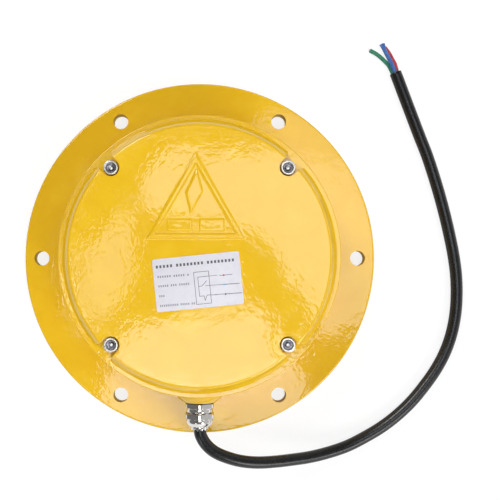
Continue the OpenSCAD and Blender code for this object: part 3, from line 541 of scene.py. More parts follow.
def core(name, slot, route, mat, inward, pinch, flare, tip):
    """Insulated core from inside the sheath. Its cut end is pinched thin and flared wide by these
    factors, and tip is the length of its strands."""
    step, sides, crushed_from, edge = 0.8, 20, 0.80, 0.15
    points = [np.array(route[0]) + np.array(inward)] + [np.array(p) for p in route]
    path = spline(points, step)
    run = np.linspace(0, 1, len(path))
    crushed = np.clip((run - crushed_from) / 0.20, 0, 1) ** 1.4
    squeeze = [(1 + (flare - 1) * c, 1 - (1 - pinch) * c) for c in crushed]
    rings = tube_rings(path, CORE_D / 2, sides, squeeze=squeeze)
    end = path[-1]
    out = rings[-1] - end
    ahead = path[-1] - path[-2]
    ahead /= np.linalg.norm(ahead)
    rings[-1] = rings[-1] - ahead * edge
    rings.append(end + out * 0.92)
    skin = len(rings) - 1
    rings += [end + out * 0.55, end + out * 0.52 + ahead * tip,
              end + out * 0.25 + ahead * (tip + 0.25)]
    verts, faces = loft(rings)
    kinds = [0 if i // sides < skin else 1 for i in range(len(faces) - 2)] + [0, 1]
    piece = mesh_object(name, verts, faces, [mat, TINNED], 40, kinds)
    return place(piece, slot, name.replace("_soft", ""))


sheath, cable_path = cable()
cores = [
    core("core_red_soft", "core_red", RED_ROUTE, CORE_RED, (0.7, -2.6, 0.2), 0.8, 1.05, 0.6),
    core("core_blue_soft", "core_blue", BLUE_ROUTE, CORE_BLUE, (0.9, -2.6, -0.6), 0.42, 1.5, 0.15),
    core("core_green_soft", "core_green", GREEN_ROUTE, CORE_GREEN, (0.9, -2.6, 0.3), 0.7, 1.1, 0.5)]


# Housing

# The gland's boss from inside the drum to its face: distance from the middle, radius, and how far
# the ring follows the drum's curve
BOSS_RINGS = [
    (90.5, 20.4, 1), (93.6, 20.4, 1), (93.9, 19.5, 0.95), (94.6, 18.5, 0.9), (95.6, 17.8, 0.8),
    (96.7, 17.3, 0.6), (97.8, 16.7, 0.4), (98.9, 15.8, 0.25), (100, 14.7, 0.1), (101, 13.5, 0),
    (101.8, 12.5, 0), (102.25, 11.9, 0), (102.45, 11.5, 0), (102.5, 11.2, 0)]
BOSS_FOOT = 11.2


def boss_ring(y, r, base, bend=0.0):
    """Outline of the gland's boss at one distance: round above a narrower foot that flares."""
    foot, flare = min(BOSS_FOOT, 0.93 * r), 3.0
    low = 0.13 - math.acos(foot / r)
    side = [(foot + flare, base - 1.5)]
    side += [(foot + flare * (1 - math.sin(t)), base + flare * (1 - math.cos(t)))
             for t in np.linspace(0, math.pi / 2, 6)]
    knee = GLAND_Z + r * math.sin(low) - 2
    side += [(foot, knee - 1.5), (foot + 0.15, knee)]
    outline = side + [(r * math.cos(t), GLAND_Z + r * math.sin(t))
                      for t in np.linspace(low, math.pi - low, 33)]
    outline += [(-x, z) for x, z in side[::-1]]
    return np.array([(x, -y + bend * (DRUM_R - math.sqrt(DRUM_R ** 2 - x * x)), z)
                     for x, z in outline])


def housing():
    """Hollow drum with its floor, flange, gland boss and screw lugs, and all their holes."""
    chamfer, edge = 0.8, 0.55
    lug_r, lug_hole_r, small_hole_r = 7.5, 3.05, 2.55
    bridge_x, bridge_y = 72, 14
    profile = rounded([
        (RECESS_R, 0, 0), (FLANGE_R - chamfer, 0, 0), (FLANGE_R, chamfer, 0),
        (FLANGE_R, FLANGE_T, 1.5), (DRUM_R, FLANGE_T, 5), (DRUM_R, CASE_H, 0.7),
        (DRUM_IN_R, CASE_H, 0.4), (DRUM_IN_R, FLOOR_TOP, 2), (OPENING_R, FLOOR_TOP, 0),
        (OPENING_R, RECESS_TOP, 0), (RECESS_R, RECESS_TOP, 0)])
    obj = mesh_object("housing_cast", *lathe(profile, 300), PAINT)
    outer = [boss_ring(y, r, FLANGE_T, bend) for y, r, bend in BOSS_RINGS]
    inner = [boss_ring(y, 14, FLOOR_TOP) for y in (84, 89.8)]
    lugs = on_circle(rod(lug_r, FLOOR_TOP - 0.5, 57.7, 64), SCREW_R, SCREW_ANGLES)
    for parts in (lugs, [loft(inner)], [loft(outer)]):
        boolean(obj, "UNION", *parts)

    holes = on_circle(rod(BOLT_HOLE_R, -2, FLANGE_T + 2, 72), BOLT_R, BOLT_ANGLES)
    holes += on_circle(rod(lug_hole_r, 41, CASE_H + 2, 32), SCREW_R, SCREW_ANGLES)
    holes += on_circle(rod(small_hole_r, -2, 20, 32), RING_SCREW_R, RING_SCREW_ANGLES)
    holes += [rod(small_hole_r, 14, FLOOR_TOP + 3, 32, x, y)
              for x in (-bridge_x, bridge_x) for y in (-bridge_y, bridge_y)]
    holes.append(along_y(rod(GLAND_HOLE_R, 0, 30, 72), GLAND_LOCKNUT_START))
    boolean(obj, "DIFFERENCE", *holes)
    soften(obj, edge, 3, 50)

    # The bolt holes' walls take the second material, whose darker colour is painted shade inside the
    # holes
    obj.data.materials.append(HOLE_PAINTED_SHADE)
    centres = [(BOLT_R * math.cos(t), BOLT_R * math.sin(t)) for t in BOLT_ANGLES]
    for face in obj.data.polygons:
        x, y, z = np.array(face.center) / MM
        off = min(math.hypot(x - u, y - v) for u, v in centres)
        if 0.5 < z < FLANGE_T - 0.5 and off < BOLT_HOLE_R + 0.2:
            face.material_index = 1
    shade(obj, 34)
    flat_normals(obj)
    place(obj, "yellow_paint", "housing")


# Cover

def distance_inside(points, outline):
    """How deep each point lies inside a closed outline: negative outside."""
    p = np.asarray(points, float)
    best = np.full(len(p), 1e9)
    inside = np.zeros(len(p), bool)
    n = len(outline)
    for i in range(n):
        a, b = np.array(outline[i], float), np.array(outline[(i + 1) % n], float)
        e = b - a
        t = np.clip(((p - a) @ e) / (e @ e), 0, 1)
        best = np.minimum(best, np.linalg.norm(p - a - t[:, None] * e, axis=1))
        crosses = (a[1] > p[:, 1]) != (b[1] > p[:, 1])
        with np.errstate(divide="ignore", invalid="ignore"):
            x = a[0] + (p[:, 1] - a[1]) * e[0] / e[1]
        inside ^= crosses & (p[:, 0] < x)
    return np.where(inside, best, -best)


def step_up(depth, width):
    """From 0 to 1 across an edge that is width wide, smooth at both ends."""
    t = np.clip(depth / width + 0.5, 0, 1)
    return t * t * (3 - 2 * t)


# Cast relief in millimetres: its place is the middle of the triangle's lower side
TRIANGLE_X, TRIANGLE_Y, TRIANGLE_SIDE, TRIANGLE_BORDER = -2.5, 12.0, 65.0, 3.0
LOZENGE = [(0.6, 45.5), (-6.4, 30.6), (-3.4, 17), (4.4, 31.6)]
PAD_X, PAD_Y, PAD_W, PAD_H = 10.725, 4.95, 16.25, 7.8
RELIEF_T, PAD_T = 0.8, 0.4


def relief(points):
    """Height of the cast relief: bordered triangle, lozenge and two pads."""
    p = np.asarray(points, float) - (TRIANGLE_X, TRIANGLE_Y)
    half, rise = TRIANGLE_SIDE / 2, TRIANGLE_SIDE * math.sin(math.pi / 3)
    b, slant = TRIANGLE_BORDER, TRIANGLE_BORDER / math.tan(math.pi / 6)
    outer = distance_inside(p, [(-half, 0), (half, 0), (0, rise)])
    inner = distance_inside(p, [(-half + slant, b), (half - slant, b), (0, rise - 2 * b)])
    border = np.minimum(outer, -inner)
    lozenge = distance_inside(p, LOZENGE)
    height = np.maximum(RELIEF_T * step_up(border, 1.1), RELIEF_T * step_up(lozenge, 1.2))
    for x in (-PAD_X, PAD_X):
        left, right, top = x - PAD_W / 2, x + PAD_W / 2, PAD_Y + PAD_H
        pad = distance_inside(p, [(left, PAD_Y), (right, PAD_Y), (right, top), (left, top)])
        height = np.maximum(height, PAD_T * step_up(pad, 1.0))
    return height


def cover_top(count, reach):
    """Flat middle of the cover out to a radius, as dense rings that carry the relief."""
    rings, fade_w = 112, 2
    verts, faces = lathe([(r, PLATEAU_Z) for r in np.linspace(reach, 0, rings)], count, False)
    verts = np.array(verts, float)
    fade = np.clip((reach - np.hypot(verts[:, 0], verts[:, 1])) / fade_w, 0, 1)
    verts[:, 2] += relief(verts[:, :2]) * fade
    return verts, faces


def rear_cover():
    """Hollow cover with its screw pockets. Its flat middle is taken out and remade."""
    count, dense_r = 600, 72.0
    inside_r, inside_top, slope, edge = 83.9, 65.5, 4.4, 1.2
    pillar_r, pocket_r = 9.5, 6
    profile = rounded([
        (0, PLATEAU_Z, 0), (0, inside_top, 0), (inside_r, inside_top, 2), (inside_r, COVER_Z, 0),
        (COVER_R, COVER_Z, 0.4), (COVER_R, LEDGE_Z, 0.6), (PLATEAU_R + slope, LEDGE_Z, 0.6),
        (PLATEAU_R, PLATEAU_Z, 2.4), (dense_r, PLATEAU_Z, 0)], 8)
    obj = mesh_object("rear_cover_cast", *lathe(profile, count), PAINT)
    pillar = rod(pillar_r, COVER_Z + 0.01, inside_top + 1, 72)
    boolean(obj, "UNION", *on_circle(pillar, SCREW_R, SCREW_ANGLES))
    pocket = [(pocket_r * math.cos(t), pocket_r * math.sin(t))
              for t in np.linspace(math.pi / 2, 1.5 * math.pi, 37)]
    flare = [(4, 6.05), (5.5, 6.3), (6.8, 6.9), (8, 7.9), (8.8, 9), (13.5, 9)]
    pocket += [(x, -y) for x, y in flare] + flare[::-1]
    for t in SCREW_ANGLES:
        shift = (SCREW_R * math.cos(t), SCREW_R * math.sin(t), 0)
        boolean(obj, "DIFFERENCE", moved(prism(pocket, LEDGE_Z, PLATEAU_Z + 4), shift, t))
        boolean(obj, "DIFFERENCE", moved(rod(SCREW_HOLE_R, 55, LEDGE_Z + 0.5, 40), shift))
    soften(obj, edge, 4, 38)

    bm = bmesh.new()
    bm.from_mesh(obj.data)
    limit = (dense_r + 0.02) * MM
    top = (PLATEAU_Z - 0.02) * MM
    caps = [f for f in bm.faces
            if all(v.co.z > top and math.hypot(v.co.x, v.co.y) < limit for v in f.verts)]
    bmesh.ops.delete(bm, geom=caps, context="FACES")
    bm.to_mesh(obj.data)
    bm.free()

    top_obj = mesh_object("top", *cover_top(count, dense_r), PAINT)
    bm = bmesh.new()
    bm.from_mesh(obj.data)
    bm.from_mesh(top_obj.data)
    bmesh.ops.remove_doubles(bm, verts=bm.verts, dist=2e-6)
    bmesh.ops.recalc_face_normals(bm, faces=bm.faces)
    bm.to_mesh(obj.data)
    bm.free()
    bpy.data.objects.remove(top_obj)
    shade(obj, 34)
    flat_normals(obj)
    place(obj, "yellow_paint", "rear_cover")


def ribs(count, depth, low, high):
    """Flute for ribs on a screw head's side between two heights."""
    def flute(r, z, t):
        if r < HEAD_R - 0.4 or not low < z < high:
            return r
        return r - depth * (0.5 - 0.5 * math.cos(t * count))
    return flute


def cover_screws():
    """Four cap screws: a ribbed head, and a hexagon socket with a stud in its bottom."""
    tip, thread_r, round_r = 43.6, 3, 0.75
    socket_r, stud_r = 3.7, 1.35
    profile = [(0, tip), (2.4, tip), (thread_r, tip + 0.6), (thread_r, HEAD_LOW - 0.1),
               (thread_r, HEAD_LOW), (HEAD_R - 0.3, HEAD_LOW), (HEAD_R, HEAD_LOW + 0.35)]
    profile += [(HEAD_R, z) for z in np.linspace(63.7, 67.3, 8)]
    profile += [(HEAD_R - round_r * (1 - math.cos(a)), HEAD_TOP - round_r * (1 - math.sin(a)))
                for a in np.linspace(0, math.pi / 2, 8)]
    profile += [(socket_r, HEAD_TOP), (3.25, HEAD_TOP - 0.55), (0, HEAD_TOP - 0.55)]
    screw = mesh_object("screw", *lathe(profile, 144, False, ribs(36, 0.22, 63.6, 67.4)), STAINLESS)
    boolean(screw, "DIFFERENCE", prism(hexagon(5.5, math.radians(12)), 65.9, HEAD_TOP + 1))
    drill = lathe([(0, 65.0), (2.6, 65.95), (0, 66.3)], 48, closed=False)
    boolean(screw, "DIFFERENCE", drill)
    stud = lathe([(0, 64.4), (stud_r, 64.4), (stud_r, 66.9), (1.2, 67.2), (0.8, 67.32),
                  (0, 67.35)], 48, closed=False)
    boolean(screw, "UNION", stud)
    soften(screw, 0.12, 2, 50)

    verts, faces = take_apart(screw)
    parts = on_circle((verts, faces), SCREW_R, SCREW_ANGLES, [0.3, 1.1, 0.75, 0.1])
    # Faces inside the socket take the dark steel: painted shade in the recess, with dark oxide
    middle = [np.mean(verts[list(f)], axis=0) for f in faces]
    in_socket = [stud_r - 0.05 < math.hypot(x, y) < socket_r - 0.02 and 64 < z < HEAD_TOP - 0.05
                 for x, y, z in middle]
    kinds = [int(dark) for dark in in_socket] * len(parts)
    obj = mesh_object("cover_screws_turned", *merge_parts(parts), [STAINLESS, SOCKET_SHADE_AND_OXIDE], 30, kinds)
    flat_normals(obj)
    place(obj, "stainless", "cover_screws")


def cover_gasket():
    """Rubber ring between case and cover, with a lug round each screw."""
    inner, outer, edge = DRUM_IN_R + 0.25, DRUM_R - 0.15, 0.3
    ring = rounded([(inner, CASE_H, edge), (outer, CASE_H, edge), (outer, COVER_Z, edge),
                    (inner, COVER_Z, edge)], 3)
    obj = mesh_object("cover_gasket_soft", *lathe(ring, 240), RUBBER)
    lug = rod(7.25, CASE_H + 0.02, COVER_Z - 0.02, 48)
    boolean(obj, "UNION", *on_circle(lug, SCREW_R, SCREW_ANGLES))
    hole = rod(SCREW_HOLE_R, CASE_H - 1, COVER_Z + 1.5, 40)
    boolean(obj, "DIFFERENCE", *on_circle(hole, SCREW_R, SCREW_ANGLES))
    shade(obj, 34)
    place(obj, "black_rubber", "cover_gasket")


# Label, with a plain circuit sketch and bars where words would be

LABEL_W, LABEL_H, LABEL_T = 58.5, 35.5, 0.3
LABEL_X, LABEL_Y, LABEL_TILT = -1.0, -17.0, math.radians(5.7)
LABEL_TOP = PLATEAU_Z + LABEL_T
PRINT_SUNK, PRINT_T, DOT_T = 0.01, 0.025, 0.05


def label_xy(u, v):
    """Place on the cover of a point u right of and v below the label's top left corner."""
    x, y = u - LABEL_W / 2, LABEL_H / 2 - v
    c, s = math.cos(LABEL_TILT), math.sin(LABEL_TILT)
    return LABEL_X + c * x - s * y, LABEL_Y + s * x + c * y


def label():
    """The label's blank film."""
    w, h, corner = LABEL_W / 2, LABEL_H / 2, 1.5
    outline = rounded([(-w, -h, corner), (w, -h, corner), (w, h, corner), (-w, h, corner)], 8)
    film = moved(prism(outline, PLATEAU_Z, LABEL_TOP), (LABEL_X, LABEL_Y, 0), LABEL_TILT)
    obj = mesh_object("label_plate", *film, FILM, 50)
    soften(obj, 0.08, 2, 50)
    shade(obj, 50)
    flat_normals(obj)
    place(obj, "label_film", "label")


def stroke(points, width, cap=0.4):
    """Thin raised line through points given as (u, v), longer by cap widths at each end."""
    parts = []
    for (u0, v0), (u1, v1) in zip(points, points[1:]):
        a, b = np.array(label_xy(u0, v0)), np.array(label_xy(u1, v1))
        d = (b - a) / np.linalg.norm(b - a)
        n = np.array([-d[1], d[0]]) * width / 2
        e = d * width * cap
        parts.append(prism([tuple(q) for q in (a - n - e, b - n + e, b + n + e, a + n - e)],
                           LABEL_TOP - PRINT_SUNK, LABEL_TOP + PRINT_T))
    return parts


def words(u0, v0, u1, v1, height, pattern, gap):
    """Row of plain upright bars, grouped as words would be, from (u0, v0) to (u1, v1)."""
    total = sum(pattern) + gap * (len(pattern) - 1)
    bar_w = 0.56
    parts, at = [], 0.0
    for word in pattern:
        for k in range(word):
            ends = [(at + k) / total, (at + k + bar_w) / total]
            parts += stroke([(u0 + (u1 - u0) * a, v0 + (v1 - v0) * a) for a in ends], height, 0)
        at += word + gap
    return parts


def dot(u, v, r=0.6):
    """Raised round dot."""
    x, y = label_xy(u, v)
    ring = [(x + r * math.cos(t), y + r * math.sin(t)) for t in np.linspace(0, TAU, 24, False)]
    return prism(ring, LABEL_TOP - PRINT_SUNK, LABEL_TOP + DOT_T)


def label_print():
    """Switch sketch, rows of bars and three dots, in millimetres from the label's corner."""
    sketch = stroke([(26.9, 11.3), (36.9, 11.3), (36.9, 32.8), (26.9, 32.8), (26.9, 11.3)], 0.34)
    sketch += stroke([(36.4, 14.7), (29.4, 14.7), (29.4, 27.6), (32.4, 27.6), (32.9, 30.6),
                      (34.5, 27.2), (41, 27.7)], 0.34)
    sketch += stroke([(36.4, 14.7), (42.5, 14.7)], 0.3) + stroke([(44, 15), (52.5, 15.1)], 0.34)
    sketch += stroke([(29.4, 20.9), (31.6, 20.9), (35, 17.6)], 0.32)
    sketch += stroke([(34, 20.9), (57, 21.5)], 0.3)
    sketch += stroke([(39.5, 27.5), (57.6, 27.9)], 0.32)
    title = words(2.2, 5.3, 55.6, 5.6, 1.9, (5, 8, 8), 0.7)
    rows = words(2.6, 12.0, 24.2, 12.5, 1.35, (6, 5, 1), 0.8)
    rows += words(2.6, 18.3, 23.8, 18.5, 1.35, (5, 3, 5), 0.8)
    rows += words(2.6, 24.9, 6.6, 25.0, 1.35, (3,), 0.8)
    rows += words(2.4, 31.4, 26.2, 31.9, 1.35, (10, 5, 2), 0.8)
    rows += words(45.6, 21.3, 56.6, 21.55, 0.55, (5, 4, 3), 0.6)
    rows += words(48.2, 27.8, 57.4, 28.0, 0.55, (5, 5), 0.6)
    pieces = [("label_print_dark", merge_parts(sketch + title), INK),
              ("label_print_pale", merge_parts(rows), INK_PALE),
              ("label_dot_red", dot(46.8, 15.1), INK_RED),
              ("label_dot_blue", dot(46.6, 21.3), INK_BLUE),
              ("label_dot_dark", dot(46.8, 27.8), INK)]
    for name, part, mat in pieces:
        place(mesh_object(name, *part, mat), "label_film")


# Gland

GLAND_CORNER_R = 11.0


def line(start, stop, count):
    """Evenly spaced points from start to stop."""
    return [tuple(p) for p in np.linspace(start, stop, count)]


def gland_piece(name, part, start, mat, slot, node, angle=28):
    """Piece on the gland's axis, from its distance to the case's middle."""
    place(mesh_object(name, *along_y(part, start), mat, angle), slot, node)


def gland_body():
    """Threaded shank, hexagon, groove and smaller hexagon, as (r, distance along the axis)."""
    corner, bore, shank = GLAND_CORNER_R, GLAND_BORE_R, GLAND_SHANK_R
    body = [(bore, 0), (9.0, 0), (shank, 0.4)] + line((shank, 0.5), (shank, 24.28), 4)
    body += [(10.3, 24.31)] + line((10.7, 24.45), (corner, 24.7), 3)
    body += line((corner, 24.95), (corner, 26.8), 4) + line((corner, 26.95), (10.15, 27.5), 5)
    body += [(9.75, 27.55), (9.5, 27.75), (9.5, 28.0), (9.75, 28.25)]
    body += line((9.8, 28.4), (9.75, 30.0), 4) + [(9.55, 30.4), (9.0, 30.85), (8.6, 31.0)]
    body += [(8, 31.02), (8, 36.5), (GLAND_SEAL_R, 36.5), (GLAND_SEAL_R, 33.3), (bore, 33.3)]
    flats = hexagons((24.3, 27.52, GLAND_HEX, 0), (28.1, 31, GLAND_STEP_HEX, 0.1))
    gland_piece("gland_body_turned", lathe(body, 144, True, flats), GLAND_BODY_START, NICKEL,
                "nickel", "gland_body")


def gland_nut():
    """Hexagon, step, dome and a mouth with teeth, as (r, distance along the axis)."""
    corner, inner, tooth_count, tooth_h = GLAND_CORNER_R, 8.05, 12, 1.1
    nut = [(inner, 0), (9.9, 0)] + line((10.3, 0.1), (corner, 0.6), 4)
    nut += line((corner, 0.8), (corner, 3.1), 5) + line((corner, 3.3), (10.1, 3.8), 4)
    nut += [(9.75, 3.85), (9.5, 4.05), (9.5, 4.3), (9.8, 4.5)]
    nut += line((9.85, 4.7), (9.6, 6.4), 5) + line((9.4, 6.8), (7.9, 8.7), 5)
    nut += [(7.5, 9.1), (6.9, 9.45), (6.35, 9.55), (6.05, 9.7), (6.05, 9.9), (6.25, 10.1)]
    nut += line((6.3, 10.3), (6.15, 11.9), 4) + [(5.9, 12.15), (5.2, 12.2), (GLAND_BORE_R, 11.9)]
    nut += [(GLAND_BORE_R, 10.0), (GLAND_SEAL_R, 10.0), (GLAND_SEAL_R, 7.0), (inner, 5.7)]
    flats = hexagons((-1, 3.84, GLAND_HEX, 0), (3.84, 9, GLAND_STEP_HEX, 0.1))
    verts, faces = lathe(nut, 192, True, flats)
    verts = np.array(verts)
    teeth = 0.5 + 0.5 * np.cos(tooth_count * np.arctan2(verts[:, 1], verts[:, 0]))
    verts[:, 2] -= tooth_h * teeth * np.clip((verts[:, 2] - 10.3) / 1.6, 0, 1)
    gland_piece("gland_nut_turned", (verts, faces), GLAND_NUT_START, NICKEL, "nickel", "gland_nut")


def gland_gasket():
    """Rubber ring between boss and gland."""
    inner, outer, thick = GLAND_HOLE_R, 10.05, 0.8
    ring = rounded([(inner, 0, 0.1), (outer, 0, 0.25), (outer, thick, 0.25),
                    (inner, thick, 0.1)], 3)
    gland_piece("gland_gasket_soft", lathe(ring, 96), GLAND_SEAT, RUBBER, "black_rubber",
                "gland_gasket", 32)


def gland_locknut():
    """Hexagon nut on the shank, chamfered on both sides."""
    inner, flat, face, thick = GLAND_HOLE_R, LOCKNUT_HEX / 2, 11.2, 4
    corner = flat / math.cos(math.pi / 6)
    nut = [(inner, 0), (face, 0)] + line((flat, 0.1), (corner, 0.7), 4)
    nut += line((corner, 0.8), (corner, 3.2), 3) + line((corner, 3.3), (flat, 3.9), 4)
    nut += [(face, thick), (inner, thick)]
    shape = lathe(nut, 144, True, hexagons((-1, thick + 1, LOCKNUT_HEX, 0)))
    gland_piece("gland_locknut_turned", shape, GLAND_LOCKNUT_START, NICKEL, "nickel",
                "gland_locknut")


# Chute side

def clamp_ring():
    """Flat ring with countersunk holes and a chamfered inner edge."""
    profile = rounded([(RING_IN_R + 3, 0, 0.5), (RING_R, 0, 0.4), (RING_R, RING_T, 0.3),
                       (RING_IN_R, RING_T, 0), (RING_IN_R, RING_T - 2, 1.0)], 4)
    obj = mesh_object("clamp_ring_turned", *lathe(profile, 240), MACHINED)
    hole = rod(RING_HOLE_R, -1, RING_T + 1, 40)
    boolean(obj, "DIFFERENCE", *on_circle(hole, RING_SCREW_R, RING_SCREW_ANGLES))
    sink = lathe([(0, -0.5), (5.15, -0.5), (2.6, 2.05), (0, 2.05)], 48, closed=False)
    boolean(obj, "DIFFERENCE", *on_circle(sink, RING_SCREW_R, RING_SCREW_ANGLES))
    shade(obj, 30)
    flat_normals(obj)
    place(obj, "stainless", "clamp_ring")


def clamp_screws():
    """Eight countersunk screws with hexagon sockets, each turned on from the one before."""
    shank_r, tip, turn = 2.5, 18.9, 1.7
    profile = [(0, 0.05), (4.35, 0.05), (4.55, 0.22), (shank_r, 2.1), (shank_r, 18.4),
               (2.1, tip), (0, tip)]
    screw = mesh_object("screw", *lathe(profile, 72, closed=False), STAINLESS)
    boolean(screw, "DIFFERENCE", prism(hexagon(3.0), -1, 2.4))
    turns = [turn * i for i in range(len(RING_SCREW_ANGLES))]
    parts = on_circle(take_apart(screw), RING_SCREW_R, RING_SCREW_ANGLES, turns)
    obj = mesh_object("clamp_screws_turned", *merge_parts(parts), STAINLESS, 30)
    flat_normals(obj)
    place(obj, "stainless", "clamp_screws")


def push_plate():
    """Turned steel disc with a raised rim and boss, round the rod's end."""
    bore, top = 5.05, 2.8
    profile = rounded([(bore, 0.9, 0), (7.5, 0.9, 0), (8.2, 1.2, 0.3), (43, 1.2, 0.8),
                       (44.2, 0.8, 0.8), (PLATE_R - 0.8, 0.8, 0.5), (PLATE_R, 1.5, 0.4),
                       (PLATE_R, top, 0.3), (bore, top, 0)], 4)
    obj = mesh_object("push_plate_turned", *lathe(profile, 240), MACHINED, 34)
    flat_normals(obj)
    place(obj, "stainless", "push_plate", body="plunger")


def diaphragm():
    """Dished rubber with a rolled convolution between its rim and its middle."""
    bore, middle_low, middle_top = 5.1, 2.8, 5.3
    roll_r, roll_end_r, roll_mid, roll_end_mid = 48.5, 64.2, 4.05, 11.4
    upper, lower = [], []
    for t in np.linspace(0, 1, 22):
        r = roll_r + (roll_end_r - roll_r) * t
        mid = roll_mid + (roll_end_mid - roll_mid) * t * t * (3 - 2 * t)
        thick = 2.5 - 0.3 * math.sin(math.pi * t) + 0.5 * t
        lower.append((r, mid - thick / 2))
        upper.append((r - 1.2 * math.sin(math.pi * t), mid + thick / 2))
    profile = [(bore, middle_low)] + lower
    profile += [(65, RING_T), (DIAPHRAGM_R, RING_T), (DIAPHRAGM_R, RECESS_TOP), (62.5, RECESS_TOP)]
    profile += upper[::-1][1:] + [(bore, middle_top)]
    obj = mesh_object("diaphragm_soft", *lathe(profile, 180), RUBBER, 40)
    hole = rod(RING_HOLE_R, RING_T - 1, RECESS_TOP + 1, 32)
    boolean(obj, "DIFFERENCE", *on_circle(hole, RING_SCREW_R, RING_SCREW_ANGLES))
    shade(obj, 40)
    place(obj, "black_rubber", "diaphragm")
    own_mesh(obj)


def return_spring():
    """Wound wire between two seats, with a part of a turn flat at each end."""
    turns, per_turn, flat_turns, sides = 4.5, 48, 0.6, 14
    wire_r, coil_r, low, high = 1.1, 13.5, 8.3, 28
    steps, flat_steps = int(turns * per_turn), int(per_turn * flat_turns)
    free = high - low - 2 * wire_r
    side = np.arange(sides) * TAU / sides
    radius = coil_r + wire_r * np.cos(side)
    rings = []
    for i in range(steps + 1):
        lift = min(1, max(0, (i - flat_steps) / (steps - 2 * flat_steps)))
        t = TAU * i / per_turn
        rings.append(np.column_stack([radius * math.cos(t), radius * math.sin(t),
                                      low + wire_r * (1 + np.sin(side)) + free * lift]))
    obj = mesh_object("return_spring_wound", *loft(rings), SPRING, 60)
    place(obj, "spring_steel", "return_spring")
    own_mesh(obj)


housing()
rear_cover()
cover_screws()
cover_gasket()
label()
label_print()
gland_body()
gland_nut()
gland_gasket()
gland_locknut()
clamp_ring()
clamp_screws()
push_plate()
diaphragm()
return_spring()


# Finishes of the nodes that keep their shape

KEPT = {
    "backing_plate": MACHINED, "plunger_rod": STAINLESS, "clamp_sleeve": STAINLESS,
    "stop_nut": ZINC, "bridge": ZINC, "bridge_screws": ZINC, "guide_bush": BRASS,
    "switch_bracket": ZINC, "bracket_screws": ZINC, "switch_case": DARK_PLASTIC,
    "switch_button": BUTTON_PLASTIC, "switch_lever": SPRING, "lever_pin": STAINLESS,
    "lever_roller": ROLLER_PLASTIC, "roller_pin": STAINLESS, "switch_screws": ZINC,
    "switch_nuts": ZINC, "switch_terminals": BRASS, "terminal_sleeves": RED_PLASTIC,
    "gland_seal": RUBBER, "cable_inner": CABLE, "inner_core_red": CORE_RED,
    "inner_core_blue": CORE_BLUE, "inner_core_green": CORE_GREEN}
for node_name, mat in KEPT.items():
    for item in NODES[node_name].material_slots:
        item.link = "OBJECT"
        item.material = mat


# Floor, world and lamps

def floor():
    """Pale floor that glows for camera, mirror and glass, more so far away. It is clear from below,
    and for short rays, so that light gets under the mounting face."""
    size, drop, tone, clear_under = 6000.0, -0.25, 0.25, 0.014
    mat, tree, surface = bare_material("floor")
    corners = [(x, y, drop) for x, y in ((-size, -size), (size, -size), (size, size), (-size, size))]
    obj = mesh_object("floor", corners, [(0, 1, 2, 3)], mat)

    ray = shader(tree, "LightPath")
    geometry = shader(tree, "NewGeometry")
    seen = shader(tree, "Math", ray["Is Camera Ray"], ray["Is Glossy Ray"], operation="MAXIMUM")[0]
    seen = shader(tree, "Math", seen, ray["Is Transmission Ray"], operation="MAXIMUM")[0]
    away = shader(tree, "VectorMath", geometry["Position"], operation="LENGTH")["Value"]
    rise = shader(tree, "MapRange", away, 0.6, 2.6, 0.785, 0.94)["Result"]
    level = shader(tree, "Math", seen, rise, operation="MULTIPLY")[0]
    glow = shader(tree, "Emission", (1, 1, 1, 1), level)[0]
    plain = shader(tree, "BsdfDiffuse", (tone, tone, tone, 1))[0]
    lit = shader(tree, "AddShader", plain, glow)[0]
    near = shader(tree, "Math", ray["Ray Length"], clear_under, operation="LESS_THAN")[0]
    gone = shader(tree, "Math", geometry["Backfacing"], near, operation="MAXIMUM")[0]
    clear = shader(tree, "BsdfTransparent")[0]
    tree.links.new(shader(tree, "MixShader", gone, lit, clear)[0], surface)


def world():
    """White round the horizon and darker overhead, as in a room, and brighter to the right."""
    greys = [(0.0, 1.0), (0.25, 0.95), (0.42, 0.48), (0.62, 0.34), (0.85, 0.2)]
    bright_side, dimmest, brightest = (0.85, -0.5, 0), 0.18, 1.6
    room = bpy.data.worlds.new("world")
    room.use_nodes = True
    bpy.context.scene.world = room
    tree = room.node_tree
    back = tree.nodes["Background"]
    direction = shader(tree, "TexCoord")["Generated"]
    height = shader(tree, "SeparateXYZ", direction)["Z"]
    tones = [(at, (grey, grey, grey)) for at, grey in greys]
    tree.links.new(colour_ramp(tree, height, tones), back.inputs["Color"])
    side = shader(tree, "VectorMath", direction, bright_side, operation="DOT_PRODUCT")["Value"]
    strength = shader(tree, "MapRange", side, -1, 1, dimmest, brightest)["Result"]
    tree.links.new(strength, back.inputs["Strength"])


# The main view in pixels: its width, its focal length, the point under the camera, and the circles
# between which the cover's ledge lies
VIEW_PX = 500
FOCAL_PX = round(VIEW_PX * LENS / SENSOR)
MIDDLE_PX = (VIEW_PX * (0.5 - SHIFT_X), VIEW_PX * (0.5 + SHIFT_Y))
LEDGE_MIDDLE_PX = (199.5, 256.5)
LEDGE_OUTER_PX, LEDGE_INNER_PX = 146, 136


def rim_arc(start, stop):
    """Arc that the cover's ledge mirrors, between two angles in degrees."""
    x, y = LEDGE_MIDDLE_PX
    turn = np.radians(np.linspace(start, stop, 24))
    return [(x + r * math.cos(t), y - r * math.sin(t))
            for r, ts in ((LEDGE_OUTER_PX, turn), (LEDGE_INNER_PX, turn[::-1])) for t in ts]


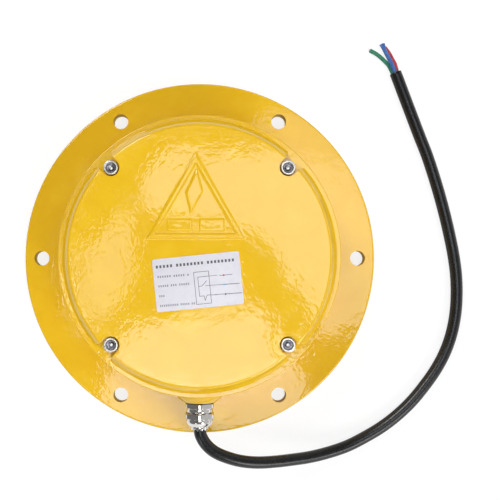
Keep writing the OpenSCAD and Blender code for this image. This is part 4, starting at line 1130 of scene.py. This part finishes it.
# Overhead softboxes: name, height in metres, strength, and the outline of their reflection in the
# cover, in pixels of the main view
SOFTBOXES = [
    ("overhead_right", 1.4, 4.0, [
        (138, 190), (145, 211), (200, 221), (243, 229), (262, 240), (285, 268), (288, 284),
        (304, 301), (314, 325), (332, 345), (402, 322), (404, 200), (352, 160), (300, 142),
        (262, 146), (215, 150), (172, 146), (150, 165)]),
    ("overhead_corner", 1.4, 2.3, [
        (250, 116), (286, 92), (330, 84), (372, 104), (404, 150), (404, 200), (352, 160),
        (300, 142), (262, 130)]),
    ("overhead_rim_back", 1.39, 2.2, rim_arc(72, 182)),
    ("overhead_rim_left", 1.39, 7.0, rim_arc(183, 214)),
    ("overhead_rim_front", 1.39, 8.5, rim_arc(228, 322)),
    ("overhead_label", 1.39, 9.0, [
        (182, 303), (202, 284), (216, 268), (231, 265), (234, 296), (186, 303)]),
    ("overhead_left", 1.4, 3.0, [
        (130, 195), (136, 250), (136, 274), (128, 292), (117, 308), (103, 325), (92, 322),
        (83, 303), (78, 275), (77, 256), (93, 243), (110, 225), (125, 207)]),
    ("overhead_front", 1.4, 4.8, [
        (122, 333), (130, 326), (146, 321), (170, 318), (215, 313), (246, 303), (262, 311),
        (278, 325), (276, 340), (278, 355), (300, 368), (314, 385), (312, 445), (95, 445),
        (95, 385), (118, 362), (118, 347)])]


def shaped_softbox(name, height, strength, outline):
    """Glowing outline overhead that the cover mirrors at these pixels."""
    scale = (height + CAMERA_Z - 2 * PLATEAU_Z * MM) / FOCAL_PX
    middle_x, middle_y = MIDDLE_PX
    verts = [((CAMERA_X + (x - middle_x) * scale) / MM, (CAMERA_Y - (y - middle_y) * scale) / MM,
              height / MM) for x, y in outline]
    mat, tree, surface = bare_material(name)
    tree.links.new(shader(tree, "Emission", (0.9, 0.95, 1.0, 1), strength)[0], surface)
    obj = mesh_object(name, verts, [range(len(verts))], mat)
    obj.visible_camera = False


def softbox(name, place_m, side, power):
    """Square area lamp that faces the middle of the mounting face."""
    data = bpy.data.lights.new(name, "AREA")
    data.size = side
    data.energy = power
    lamp = bpy.data.objects.new(name, data)
    lamp.location = place_m
    lamp.rotation_mode = "QUATERNION"
    lamp.rotation_quaternion = (-Vector(place_m)).to_track_quat("-Z", "Y")
    bpy.context.scene.collection.objects.link(lamp)


floor()
world()
bpy.context.scene.view_settings.view_transform = "Standard"
for overhead in SOFTBOXES:
    shaped_softbox(*overhead)
softbox("key_front_right", (1.3, -1.6, 1.7), 1.1, 25)
softbox("fill_back_left", (-1.1, 1.5, 1.7), 0.9, 29)
softbox("edge_left", (-0.95, -1.25, 1.1), 0.45, 3)
